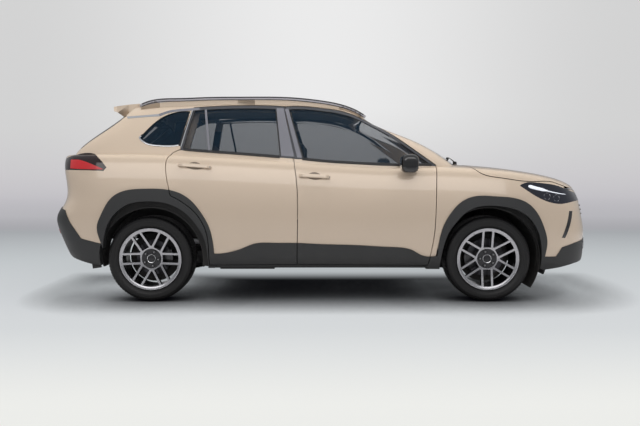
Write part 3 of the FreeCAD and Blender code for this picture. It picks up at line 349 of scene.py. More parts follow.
class Palette:
    """Every finish on the car."""

    paint = PaintFinish("beige_paint", srgb(202, 184, 164), 0.38, 0.25, coat=1.0, coat_roughness=0.04)
    cladding = Finish("grained_cladding", srgb(40, 41, 42), 0.50, grain_size=1100.0, grain_depth=0.25,
                      mottle=0.06, dust=0.08)
    gloss_black = Finish("gloss_black", (0.006, 0.006, 0.007), 0.12, coat=1.0)
    satin_black = Finish("satin_black", (0.012, 0.012, 0.013), 0.42, grain_size=900.0, grain_depth=0.1,
                         mottle=0.04)
    seal = Finish("rubber_seal", (0.012, 0.012, 0.012), 0.6, grain_size=500.0, grain_depth=0.1, mottle=0.05)
    tyre = Finish("tyre_rubber", (0.0045, 0.0045, 0.005), 0.45, ior=1.42, grain_size=700.0, grain_depth=0.12,
                  mottle=0.08, dust=0.012)
    bright = Finish("machined_alloy", (0.44, 0.44, 0.46), 0.22, 1.0, grain_size=1500.0, grain_depth=0.05,
                    mottle=0.08)
    dark_alloy = Finish("dark_alloy", (0.014, 0.0145, 0.017), 0.32, 0.5, coat=0.5, coat_roughness=0.1,
                        mottle=0.04)
    # Dark grey caliper, made darker still to paint the shade inside the wheel
    caliper = Finish("caliper_grey", (0.10, 0.10, 0.105), 0.35, 0.8, mottle=0.08)
    steel = Finish("plain_steel", (0.3, 0.3, 0.31), 0.38, 1.0, grain_size=600.0, grain_depth=0.1, mottle=0.1)
    # Dark iron disc, made darker still to paint the shade seen between the spokes
    disc = Finish("brake_disc", (0.05, 0.05, 0.055), 0.3, 1.0, mottle=0.08)
    rail = Finish("rail_silver", (0.36, 0.35, 0.37), 0.34, 0.6, grain_size=1800.0, grain_depth=0.05,
                  mottle=0.04)
    chrome = Finish("bright_trim", (0.75, 0.76, 0.78), 0.1, 1.0, mottle=0.02)
    iron = Finish("cast_engine", (0.06, 0.06, 0.063), 0.6, 0.4, grain_size=300.0, grain_depth=0.3, mottle=0.1)
    under = Finish("underseal", (0.012, 0.012, 0.012), 0.8, grain_size=250.0, grain_depth=0.4, mottle=0.1,
                   dust=0.2)
    cabin = Finish("cabin_plastic", (0.016, 0.016, 0.018), 0.58, grain_size=800.0, grain_depth=0.3,
                   mottle=0.06)
    carpet = Finish("cabin_carpet", (0.012, 0.012, 0.013), 0.95, grain_size=350.0, grain_depth=0.9,
                    mottle=0.05, sheen=0.3)
    side_glass = Finish("tinted_glass", (0.008, 0.024, 0.044), 0.02, alpha=0.34, ior=1.38, mottle=0.01)
    clear_glass = Finish("screen_glass", (0.01, 0.014, 0.018), 0.02, alpha=0.16, ior=1.45, mottle=0.01)
    red_glass = Finish("reflector_red", (0.35, 0.008, 0.010), 0.12, coat=1.0, mottle=0.03)
    screen = Finish("screen_black", (0.005, 0.006, 0.009), 0.08, coat=1.0, mottle=0.01)
    fabric = Finish("seat_cloth", (0.022, 0.022, 0.025), 0.85, grain_size=650.0, grain_depth=0.6, mottle=0.06,
                    sheen=0.35)
    frame_black = Finish("frame_black", (0.045, 0.047, 0.055), 0.3, coat=0.3, mottle=0.03)
    pillar = Finish("pillar_gloss", (0.22, 0.22, 0.25), 0.2, 0.4, coat=1.0, mottle=0.02)
    # Paint darkened for the patch under each handle: painted shade of the handle's cup
    cup = Finish("handle_cup", srgb(118, 106, 92), 0.5, coat=0.3, mottle=0.03)
    mirror = Finish("mirror_glass", (0.62, 0.66, 0.70), 0.03, 1.0, mottle=0.01)
    lens_glass = Finish("projector_lens", (0.03, 0.035, 0.05), 0.05, coat=1.0, mottle=0.01)
    plate = Finish("blank_plate", (0.62, 0.62, 0.60), 0.35, coat=0.5, grain_size=500.0, grain_depth=0.05,
                   mottle=0.03)
    headliner = Finish("headliner", (0.20, 0.20, 0.195), 0.9, grain_size=900.0, grain_depth=0.4, mottle=0.04,
                       sheen=0.2)
    # Dark bead colour on the rail's edges; on the lower bead it is painted shade under the rail
    rail_top = Finish("rail_edge", (0.03, 0.028, 0.03), 0.35, 0.3, mottle=0.03)
    smoke_lens = Finish("smoked_lens", (0.010, 0.0015, 0.002), 0.06, alpha=0.92, coat=0.6, coat_roughness=0.0,
                        mottle=0.01)
    red_lens = Finish("red_lens", (0.36, 0.006, 0.010), 0.25, coat=0.5, glow=(1.0, 0.02, 0.03),
                      glow_strength=0.12, mottle=0.02)
    lamp_white = Finish("lamp_white", (0.82, 0.85, 0.92), 0.2, coat=1.0, glow=(0.85, 0.9, 1.0),
                        glow_strength=0.25, mottle=0.02)
    lamp_blue = Finish("lamp_dark", (0.008, 0.010, 0.020), 0.15, 0.3, coat=0.6, mottle=0.02)


@dataclass
class Shape:
    """Vertices in metres and faces as tuples of vertex numbers, each face with a finish number."""

    points: np.ndarray
    faces: list[tuple[int, ...]]
    finishes: list[int] = field(default_factory=list)

    def __post_init__(self) -> None:
        """Gives faces without a finish number the first one."""
        if not self.finishes:
            self.finishes = [0] * len(self.faces)

    @staticmethod
    def grid(points: np.ndarray, wrap_u: bool = False, wrap_v: bool = False, caps: bool = False) -> "Shape":
        """A quad surface over a grid of points: face (i, j) joins rows i, i+1 and columns j, j+1.

        Args:
            points: (rows, columns, 3) positions.
            wrap_u: joins the last row to the first.
            wrap_v: joins the last column to the first.
            caps: closes the first and last rows with one face each.

        Returns:
            The shape.
        """
        rows, columns = points.shape[:2]
        i = np.arange(rows if wrap_u else rows - 1)[:, None]
        j = np.arange(columns if wrap_v else columns - 1)[None, :]
        below, right = (i + 1) % rows, (j + 1) % columns
        quads = np.stack(np.broadcast_arrays(i * columns + j, i * columns + right, below * columns + right,
                                             below * columns + j), axis=-1).reshape(-1, 4)
        faces = [tuple(q) for q in quads.tolist()]
        if caps:
            faces.append(tuple(range(columns))[::-1])
            faces.append(tuple((rows - 1) * columns + k for k in range(columns)))
        return Shape(points.reshape(-1, 3), faces)

    @staticmethod
    def sweep(path: np.ndarray, profile: np.ndarray, up: np.ndarray | tuple = (0, 0, 1), closed: bool = False,
              scale: np.ndarray | None = None) -> "Shape":
        """A profile carried along a path: point = path + side * a + top * b, with top leaning towards up.

        Args:
            path: (n, 3) positions.
            profile: (m, 2) outline of (side, top) distances, a closed ring.
            up: one direction for the whole path or one for each point.
            closed: joins the path's end to its start.
            scale: a factor on the profile at each point.

        Returns:
            The closed tube.
        """
        path = np.asarray(path, float)
        if closed:
            tangent = np.roll(path, -1, 0) - np.roll(path, 1, 0)
        else:
            tangent = np.gradient(path, axis=0)
        tangent /= np.linalg.norm(tangent, axis=1, keepdims=True)
        ups = np.broadcast_to(np.asarray(up, float), path.shape)
        side = np.cross(ups, tangent)
        side /= np.linalg.norm(side, axis=1, keepdims=True)
        top = np.cross(tangent, side)
        size = np.ones(len(path)) if scale is None else np.asarray(scale, float)
        points = (path[:, None, :] + side[:, None, :] * (profile[None, :, 0] * size[:, None])[:, :, None]
                  + top[:, None, :] * (profile[None, :, 1] * size[:, None])[:, :, None])
        return Shape.grid(points, wrap_u=closed, wrap_v=True, caps=not closed)

    @staticmethod
    def bar(path: np.ndarray | list, section: tuple, up: np.ndarray | tuple = (0, 0, 1),
            scale: np.ndarray | None = None) -> "Shape":
        """A bar with rounded corners along a path, its faces turned outwards.

        Args:
            path: (n, 3) positions.
            section: half size across, half size upwards, corner radius and points in a corner.
            up: one direction for the whole path or one for each point.
            scale: a factor on the section at each point.

        Returns:
            The bar.
        """
        return Shape.sweep(path, rounded_bar(*section), up=up, scale=scale).outward()

    @staticmethod
    def turned(profile: np.ndarray | list, steps: int = 64, wrap: bool = False) -> "Shape":
        """A profile of (radius, along) points turned about the local y axis: (r sin t, along, r cos t).

        Args:
            profile: (m, 2) outline.
            steps: how many stations in a full turn.
            wrap: joins the outline's end to its start.

        Returns:
            The turned shape.
        """
        angle = np.linspace(0, 2 * np.pi, steps, endpoint=False)[:, None]
        profile = np.asarray(profile, float)
        radius, along = profile[None, :, 0], profile[None, :, 1]
        points = np.stack([radius * np.sin(angle), np.broadcast_to(along, (steps, len(profile))),
                           radius * np.cos(angle)], axis=-1)
        return Shape.grid(points, wrap_u=True, wrap_v=wrap)

    def painted(self, number: int) -> "Shape":
        """The same shape with every face given one finish number."""
        return Shape(self.points, self.faces, [number] * len(self.faces))

    def moved(self, offset: tuple[float, float, float]) -> "Shape":
        """The shape shifted by offset."""
        return Shape(self.points + np.asarray(offset, float), self.faces, self.finishes)

    def turned_by(self, matrix: np.ndarray) -> "Shape":
        """The shape turned by a 3 by 3 matrix."""
        return Shape(self.points @ np.asarray(matrix, float).T, self.faces, self.finishes)

    def mirrored(self) -> "Shape":
        """The shape's twin across the middle plane, with its faces turned back outwards."""
        points = self.points * np.array([1.0, -1.0, 1.0])
        return Shape(points, [face[::-1] for face in self.faces], self.finishes)

    def on(self, side: Side) -> "Shape":
        """A left-hand shape put on the side asked for."""
        return self if side is Side.LEFT else self.mirrored()

    @staticmethod
    def joined(shapes: list["Shape"]) -> "Shape":
        """Several shapes as one, not welded."""
        points, faces, finishes, start = [], [], [], 0
        for shape in shapes:
            points.append(shape.points)
            faces.extend(tuple(k + start for k in face) for face in shape.faces)
            finishes.extend(shape.finishes)
            start += len(shape.points)
        return Shape(np.concatenate(points), faces, finishes)

    def outward(self) -> "Shape":
        """The shape with its faces turned outwards where its signed volume says they point in."""
        total = 0.0
        for face in self.faces:
            ring = self.points[list(face)]
            total += float(np.sum(np.cross(ring[1:-1] - ring[0], ring[2:] - ring[0]) @ ring[0]))
        if total >= 0:
            return self
        return Shape(self.points, [face[::-1] for face in self.faces], self.finishes)


def rotation_y(angle: float) -> np.ndarray:
    """The 3 by 3 matrix of a right-handed turn about +Y."""
    c, s = math.cos(angle), math.sin(angle)
    return np.array([[c, 0, s], [0, 1, 0], [-s, 0, c]])


def rotation_z(angle: float) -> np.ndarray:
    """The 3 by 3 matrix of a right-handed turn about +Z."""
    c, s = math.cos(angle), math.sin(angle)
    return np.array([[c, -s, 0], [s, c, 0], [0, 0, 1]])


def turn_to(direction: np.ndarray) -> np.ndarray:
    """The 3 by 3 matrix of the shortest turn from +Y to a direction."""
    return np.array(Vector((0, 1, 0)).rotation_difference(Vector(direction)).to_matrix())


def rounded_bar(half_width: float, half_height: float, radius: float, steps: int = 4) -> np.ndarray:
    """Outline of a bar with rounded corners: four quarter circles joined by straight sides.

    Args:
        half_width: half the size across.
        half_height: half the size upwards.
        radius: corner radius.
        steps: points in each corner.

    Returns:
        (4 * steps, 2) closed outline, anticlockwise.
    """
    quarter = np.linspace(0, np.pi / 2, steps)
    corners = []
    for turn, (sx, sy) in enumerate(((1, 1), (-1, 1), (-1, -1), (1, -1))):
        angle = quarter + turn * np.pi / 2
        corners.append(np.stack([sx * (half_width - radius) + radius * np.cos(angle),
                                 sy * (half_height - radius) + radius * np.sin(angle)], axis=1))
    return np.concatenate(corners)


def smooth_curve(points: Knots | list, count: int) -> np.ndarray:
    """Points evenly spread along a Catmull-Rom curve through the given ones.

    Args:
        points: what the curve passes through.
        count: how many points to return.

    Returns:
        (count, dimensions) positions.
    """
    knots = np.asarray(points, float)
    padded = np.vstack([2 * knots[0] - knots[1], knots, 2 * knots[-1] - knots[-2]])
    t = np.linspace(0, 1, 24, endpoint=False)[None, :, None]
    p0, p1, p2, p3 = (padded[k:len(padded) - 3 + k, None, :] for k in range(4))
    curve = 0.5 * (2 * p1 + (p2 - p0) * t + (2 * p0 - 5 * p1 + 4 * p2 - p3) * t ** 2
                   + (3 * p1 - p0 - 3 * p2 + p3) * t ** 3)
    dense = np.vstack([curve.reshape(-1, knots.shape[1]), knots[-1:]])
    reach = np.concatenate([[0], np.cumsum(np.linalg.norm(np.diff(dense, axis=0), axis=1))])
    wanted = np.linspace(0, reach[-1], count)
    return np.stack([np.interp(wanted, reach, dense[:, k]) for k in range(dense.shape[1])], axis=1)


def put(name: str, shape: Shape, body: str, slot: str, *finishes: Finish, sharp: float = 38.0,
        replaces: tuple[str, ...] = ()) -> bpy.types.Object:
    """Makes a shape an object of the scene, dressed and riding on its body.

    Args:
        name: the piece's name.
        shape: its surface, in the row frame.
        body: the body it rides on.
        slot: the record's material slot.
        finishes: the finishes its face numbers stand for.
        sharp: edges bent by more than this many degrees stay crisp.
        replaces: the nodes it stands for.

    Returns:
        The object.
    """
    mesh = bpy.data.meshes.new(name)
    mesh.from_pydata(shape.points.tolist(), [], shape.faces)
    mesh.update()
    for finish in finishes:
        mesh.materials.append(finish.material())
    mesh.polygons.foreach_set("material_index", np.array(shape.finishes, dtype=np.int32))
    mesh.shade_smooth()
    mesh.set_sharp_from_angle(angle=math.radians(sharp))
    piece = linked(name, mesh, body, slot)
    if replaces:
        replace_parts(piece, *replaces)
    log.info("%s: %d faces", name, len(mesh.polygons))
    return piece


class Skin:
    """A clamped uniform cubic spline surface over a net of poles, as the body's panels are cut from."""

    def __init__(self, net: np.ndarray) -> None:
        """Keeps the net and a coarse grid of starting points.

        Args:
            net: (rows, columns, 3) poles in metres.
        """
        self.net = net
        self.spans = np.array(net.shape[:2]) - 3
        u, v = np.meshgrid(np.linspace(0, self.spans[0], 140), np.linspace(0, self.spans[1], 110),
                           indexing="ij")
        self.seeds = np.stack([u.ravel(), v.ravel()], axis=1)
        self.tree = KDTree(len(self.seeds))
        for number, seed in enumerate(self.at(self.seeds)[0]):
            self.tree.insert(seed, number)
        self.tree.balance()

    @staticmethod
    def weights(t: np.ndarray, spans: int) -> tuple[np.ndarray, np.ndarray, np.ndarray]:
        """Cubic basis values and slopes by the Cox-de Boor recursion on knots 0,0,0,0,1,2..n,n,n,n.

        Args:
            t: parameters from 0 to spans.
            spans: number of spans.

        Returns:
            First pole numbers, (n, 4) values and (n, 4) slopes.
        """
        t = np.clip(t, 0.0, spans - 1e-9)
        first = np.floor(t).astype(int)

        def knot(k: np.ndarray) -> np.ndarray:
            return np.clip(k - 3, 0, spans).astype(float)

        rows = {0: [np.ones_like(t)]}
        for degree in range(1, 4):
            previous = rows[degree - 1]
            current = [np.zeros_like(t) for _ in range(degree + 1)]
            for k in range(degree):
                low, high = knot(first + 3 - (degree - 1) + k), knot(first + 4 + k)
                share = (t - low) / (high - low)
                current[k] += previous[k] * (1 - share)
                current[k + 1] += previous[k] * share
            rows[degree] = current
        values = np.stack(rows[3], axis=1)
        slopes = np.zeros_like(values)
        for k in range(3):
            low, high = knot(first + 1 + k), knot(first + 4 + k)
            rate = 3.0 * rows[2][k] / (high - low)
            slopes[:, k] -= rate
            slopes[:, k + 1] += rate
        return first, values, slopes

    def at(self, places: np.ndarray) -> tuple[np.ndarray, np.ndarray, np.ndarray]:
        """Positions and the two tangents at (u, v) places."""
        u_first, u_value, u_slope = self.weights(places[:, 0], int(self.spans[0]))
        v_first, v_value, v_slope = self.weights(places[:, 1], int(self.spans[1]))
        poles = self.net[(u_first[:, None] + np.arange(4))[:, :, None],
                         (v_first[:, None] + np.arange(4))[:, None, :]]
        point = np.einsum("ni,nj,nijk->nk", u_value, v_value, poles)
        along_u = np.einsum("ni,nj,nijk->nk", u_slope, v_value, poles)
        along_v = np.einsum("ni,nj,nijk->nk", u_value, v_slope, poles)
        return point, along_u, along_v

    def nearest(self, points: np.ndarray) -> tuple[np.ndarray, np.ndarray, np.ndarray]:
        """Feet of the given points on the skin, by Gauss-Newton steps from the nearest seed.

        Args:
            points: (n, 3) positions with y at or above zero.

        Returns:
            Feet, unit normals pointing out of the car and distances.
        """
        places = self.seeds[[self.tree.find(point)[1] for point in points]].copy()
        for _ in range(7):
            foot, along_u, along_v = self.at(places)
            gap = points - foot
            a = np.einsum("nk,nk->n", along_u, along_u)
            b = np.einsum("nk,nk->n", along_u, along_v)
            c = np.einsum("nk,nk->n", along_v, along_v)
            p, q = np.einsum("nk,nk->n", gap, along_u), np.einsum("nk,nk->n", gap, along_v)
            size = np.maximum(a * c - b * b, 1e-12)
            step = np.stack([(c * p - b * q) / size, (a * q - b * p) / size], axis=1)
            places = np.clip(places + np.clip(step, -0.5, 0.5), 0, self.spans)
        foot, along_u, along_v = self.at(places)
        normal = np.cross(along_v, along_u)
        normal /= np.maximum(np.linalg.norm(normal, axis=1, keepdims=True), 1e-9)
        return foot, normal, np.linalg.norm(points - foot, axis=1)


def read_table(table: Knots | list, x: float) -> float:
    """Straight-line reading of a table of (place, value) pairs."""
    return float(np.interp(x, [row[0] for row in table], [row[1] for row in table]))


def mix(a: float, b: float, share: float) -> float:
    """The value the given share of the way from a to b."""
    return a + (b - a) * share


@dataclass
class BodyForm:
    """The car's outer form: the same two pole nets that the panels were cut from, in millimetres."""

    FRONT_AXLE, REAR_AXLE, NOSE, TAIL, HALF, BOTTOM = 1280.0, -1360.0, 2230.0, -2230.0, 901.0, 200.0
    SHOULDER = [(-2230, 1140), (-1900, 1156), (-1138, 1150), (-339, 1098), (519, 1042), (900, 1048),
                (1208, 1040), (1427, 1018), (1647, 985), (1794, 950), (1941, 905), (2030, 868), (2230, 855)]
    CENTRE = [(-2230, 1150), (-1138, 1165), (519, 1080), (1000, 1094), (1200, 1082), (1450, 1056),
              (1700, 1016), (1850, 977), (1960, 936), (2030, 908)]
    LOWER_ROWS = [
        (0.00, 0.900, 230, -84),
        (0.09, 0.962, 150, -24),
        (0.21, 0.990, 104, -20),
        (0.36, 1.001, 52, -22),
        (0.49, 1.004, 14, -14),
        (0.61, 1.002, 120, -30),
        (0.74, 0.993, 120, -44),
        (0.88, 0.975, 90, -60),
        (1.00, 0.945, 96, -98),
    ]
    ROOF = [(-1650, 1545), (-1500, 1568), (-1200, 1592), (-850, 1605), (-450, 1608), (-100, 1599),
            (120, 1572), (280, 1532), (420, 1480)]
    UPPER_ROWS = [
        (700, 850, -2040, -1975, 1010, 1200),
        (980, 838, -2050, -2005, 1060, 1270),
        (1130, 800, -2075, -2015, 880, 1082),
        (1260, 755, -1945, -1872, 682, 842),
        (1380, 710, -1808, -1735, 497, 632),
        (1490, 667, -1692, -1618, 330, 446),
        (1562, 634, -1640, -1550, 225, 385),
    ]
    SIDE_X = [-1330, -880, -330, 60]
    SPINE_X = [-1600, -1572, -1520, -1430, -1250, -860, -330, 20, 180, 270, 330, 350]

    def lower_net(self) -> np.ndarray:
        """Poles of one half below the glass, tail to side to nose, then up over the deck."""
        columns = [
            ("tail", -26, 0.00, -1985),
            ("tail", -24, 0.42, -1960),
            ("tail", 22, 0.80, -1900),
            ("tail", 165, 0.975, -1830),
            ("side", self.REAR_AXLE - 340, 1.0, -1680),
            ("side", self.REAR_AXLE, 1.004, self.REAR_AXLE),
            ("side", -850, 0.992, -850),
            ("side", -150, 0.984, -150),
            ("side", 450, 0.984, 450),
            ("side", 850, 0.990, 850),
            ("side", self.FRONT_AXLE, 1.004, self.FRONT_AXLE),
            ("side", self.FRONT_AXLE + 370, 0.990, 1600),
            ("nose", -230, 0.925, 1760),
            ("nose", -62, 0.70, 1880),
            ("nose", 12, 0.36, 1960),
            ("nose", 16, 0.00, 2000),
        ]
        net = []
        for kind, place, width, spine_x in columns:
            column = []
            for share, row_width, tail_x, nose_x in self.LOWER_ROWS:
                x = {"tail": self.TAIL + tail_x + place, "nose": self.NOSE + nose_x + place}.get(kind, place)
                end_x = self.NOSE + self.LOWER_ROWS[-1][3] + place if kind == "nose" else x
                top = read_table(self.SHOULDER, end_x)
                column.append((x, self.HALF * width * row_width, self.BOTTOM + share * (top - self.BOTTOM)))
            self.close(column, (spine_x, 0.0, read_table(self.CENTRE, spine_x)),
                       ((0.10, 0.50), (0.45, 0.93), (1.0, 1.0)))
            net.append(column)
        return np.array(net)

    def upper_net(self) -> np.ndarray:
        """Poles of one half of the glasshouse, backlight to side to screen, then up over the roof."""
        net = []
        corner_share = (0, 0.10, 0.55, 1.0)
        for index, across in enumerate((0, 0.46, 0.88, 1.0, 1, 1, 1, 1, 1.0, 0.88, 0.5, 0)):
            column = []
            for height, half, tail, tail_corner, screen_corner, screen in self.UPPER_ROWS:
                if index < 4:
                    x = mix(tail, tail_corner, corner_share[index])
                elif index < 8:
                    x = self.SIDE_X[index - 4]
                else:
                    x = mix(screen, screen_corner, corner_share[11 - index])
                drop = read_table(self.ROOF, max(-1600, min(x, 400))) - 1608
                share = max(0.0, (height - 1260) / (1562 - 1260))
                column.append((x, half * across, height + drop * share))
            spine_x = self.SPINE_X[index]
            self.close(column, (spine_x, 0.0, read_table(self.ROOF, spine_x)),
                       ((0.13, 0.72), (0.55, 0.96), (1.0, 1.0)))
            net.append(column)
        return np.array(net)

    @staticmethod
    def close(column: list, spine: tuple, shares: tuple) -> None:
        """Adds the poles that carry a column from its last pole to the middle plane.

        Args:
            column: the poles so far.
            spine: the pole on the middle plane.
            shares: plan share and rise share of each added pole.
        """
        x, y, z = column[-1]
        for plan, rise in shares:
            column.append((mix(x, spine[0], plan), mix(y, spine[1], plan), mix(z, spine[2], rise)))

    def skins(self) -> list[Skin]:
        """Both skins in metres."""
        return [Skin(self.lower_net() * MM), Skin(self.upper_net() * MM)]


class Frame:
    """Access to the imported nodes."""

    @staticmethod
    def dress(nodes: list[str], finish: Finish) -> None:
        """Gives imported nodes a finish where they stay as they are.

        Args:
            nodes: node names.
            finish: what they are made of.
        """
        for name in nodes:
            piece = frame["nodes"][name]
            if not piece.material_slots:
                piece.data.materials.append(finish.material())
            for material_slot in piece.material_slots:
                material_slot.material = finish.material()

    @staticmethod
    def body_of(node: str) -> str:
        """The body that carries a node."""
        for body, nodes in frame["record"]["behaviour"]["bodies"].items():
            if node in nodes:
                return body
        raise KeyError(node)

    @staticmethod
    def slot_of(node: str) -> str:
        """The record's material slot of a node."""
        for part in frame["record"]["subparts"]:
            if part["node"] == node:
                return part["material_slot"]
        raise KeyError(node)


@dataclass(frozen=True)
class Dressing:
    """A panel's finishes: outside, inside past a depth, above a sloping belt, below a level, in pockets."""

    outside: Finish
    inside: Finish | None = None
    depth: float = 0.030
    above: Finish | None = None
    belt: tuple[tuple[float, float], tuple[float, float]] = ((-1.0, 9.0), (1.0, 9.0))
    below: Finish | None = None
    level: float = -1.0
    pockets: tuple[tuple[float, float, float, float], ...] = ()

    @property
    def finishes(self) -> list[Finish]:
        """The finishes in the order of the face numbers."""
        return [self.outside, self.inside or self.outside, self.above or self.outside,
                self.below or self.outside]

    def slope(self) -> tuple[tuple[float, float, float], tuple[float, float, float]]:
        """A point on the belt's plane and the plane's upward normal."""
        (x0, z0), (x1, z1) = self.belt
        run = math.hypot(x1 - x0, z1 - z0)
        return (x0, 0.0, z0), (-(z1 - z0) / run, 0.0, (x1 - x0) / run)


@dataclass
class Panels:
    """Body panels, trims and panes: welded copies of their nodes with the skins' own normals."""

    skins: list[Skin]
    reach: float = 0.016
    agreement: float = 0.975
    sharp: float = 32.0

    def build(self, nodes: list[str], dressing: Dressing | Finish) -> list[bpy.types.Object]:
        """One smooth copy for each node.

        Args:
            nodes: node names.
            dressing: what they are made of.

        Returns:
            The copies.
        """
        if isinstance(dressing, Finish):
            dressing = Dressing(dressing)
        return [self.copy(node, dressing) for node in nodes]

    def copy(self, node: str, dressing: Dressing) -> bpy.types.Object:
        """A welded copy whose corners on the skins take the skins' normals.

        Args:
            node: the node's name.
            dressing: what it is made of.

        Returns:
            The copy, standing for the node.
        """
        shape = welded(node)
        bmesh.ops.dissolve_degenerate(shape, edges=shape.edges, dist=1e-6)
        bmesh.ops.recalc_face_normals(shape, faces=shape.faces)
        spot, up = dressing.slope()
        for wanted, point, normal in ((dressing.above, spot, up),
                                      (dressing.below, (0, 0, dressing.level), (0, 0, 1))):
            if wanted:
                bmesh.ops.bisect_plane(shape, geom=shape.verts[:] + shape.edges[:] + shape.faces[:],
                                       dist=1e-5, plane_co=point, plane_no=normal)
        mesh = bpy.data.meshes.new("skin_" + node)
        shape.to_mesh(mesh)
        shape.free()
        mesh.shade_smooth()
        mesh.set_sharp_from_angle(angle=math.radians(self.sharp))
        normals, distance = self.corner_normals(mesh)
        mesh.normals_split_custom_set(normals)
        mesh.materials.clear()
        for finish in dressing.finishes:
            mesh.materials.append(finish.material())
        mesh.polygons.foreach_set("material_index", self.numbers(mesh, dressing, distance))
        piece = linked(mesh.name, mesh, Frame.body_of(node), Frame.slot_of(node))
        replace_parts(piece, node)
        log.info("%s: %d faces", piece.name, len(mesh.polygons))
        return piece

    @staticmethod
    def numbers(mesh: bpy.types.Mesh, dressing: Dressing, distance: np.ndarray) -> np.ndarray:
        """Finish numbers of the faces.

        Args:
            mesh: the welded mesh.
            dressing: what it is made of.
            distance: how far each vertex lies under the skins.

        Returns:
            One number for each face.
        """
        count = len(mesh.polygons)
        middle = read_out(mesh.polygons, "center")
        vertex = read_out(mesh.loops, "vertex_index", 0)
        face = np.repeat(np.arange(count), read_out(mesh.polygons, "loop_total", 0))
        nearest, farthest = np.full(count, np.inf), np.zeros(count)
        np.minimum.at(nearest, face, distance[vertex])
        np.maximum.at(farthest, face, distance[vertex])
        number = np.zeros(count, dtype=np.int32)
        spot, up = dressing.slope()
        number[(middle - np.array(spot)) @ np.array(up) > 0] = 2 if dressing.above else 0
        if dressing.below:
            number[middle[:, 2] < dressing.level] = 3
        if dressing.inside:
            number[nearest > dressing.depth] = 1
            for x0, x1, z0, z1 in dressing.pockets:
                held = (middle[:, 0] > x0) & (middle[:, 0] < x1) & (middle[:, 2] > z0) & (middle[:, 2] < z1)
                number[held & (farthest > 0.004)] = 1
        return number

    def corner_normals(self, mesh: bpy.types.Mesh) -> tuple[np.ndarray, np.ndarray]:
        """Corner normals: the skin's where a face lies along it, the mesh's own elsewhere.

        Args:
            mesh: the welded mesh.

        Returns:
            (corners, 3) unit normals and each vertex's distance from the skins.
        """
        points = read_out(mesh.vertices, "co")
        sign = np.where(points[:, 1] < 0, -1.0, 1.0)
        half = points.copy()
        half[:, 1] *= sign
        found = [skin.nearest(half) for skin in self.skins]
        own = read_out(mesh.corner_normals, "vector")
        vertex = read_out(mesh.loops, "vertex_index", 0)
        flat = read_out(mesh.polygons, "normal")
        count = read_out(mesh.polygons, "loop_total", 0)
        face = np.repeat(np.arange(len(count)), count)
        best = np.full(len(face), np.inf)
        for _, normal, distance in found:
            side = normal * np.stack([np.ones_like(sign), sign, np.ones_like(sign)], axis=1)
            corner = side[vertex]
            facing = np.einsum("nk,nk->n", corner, flat[face])
            near = (distance[vertex] < self.reach) & (np.abs(facing) > self.agreement)
            whole = np.ones(len(count), dtype=bool)
            np.logical_and.at(whole, face, near)
            take = whole[face] & (distance[vertex] < best)
            own[take] = corner[take] * np.sign(facing[take])[:, None]
            best[take] = distance[vertex][take]
        return own, np.minimum(found[0][2], found[1][2])


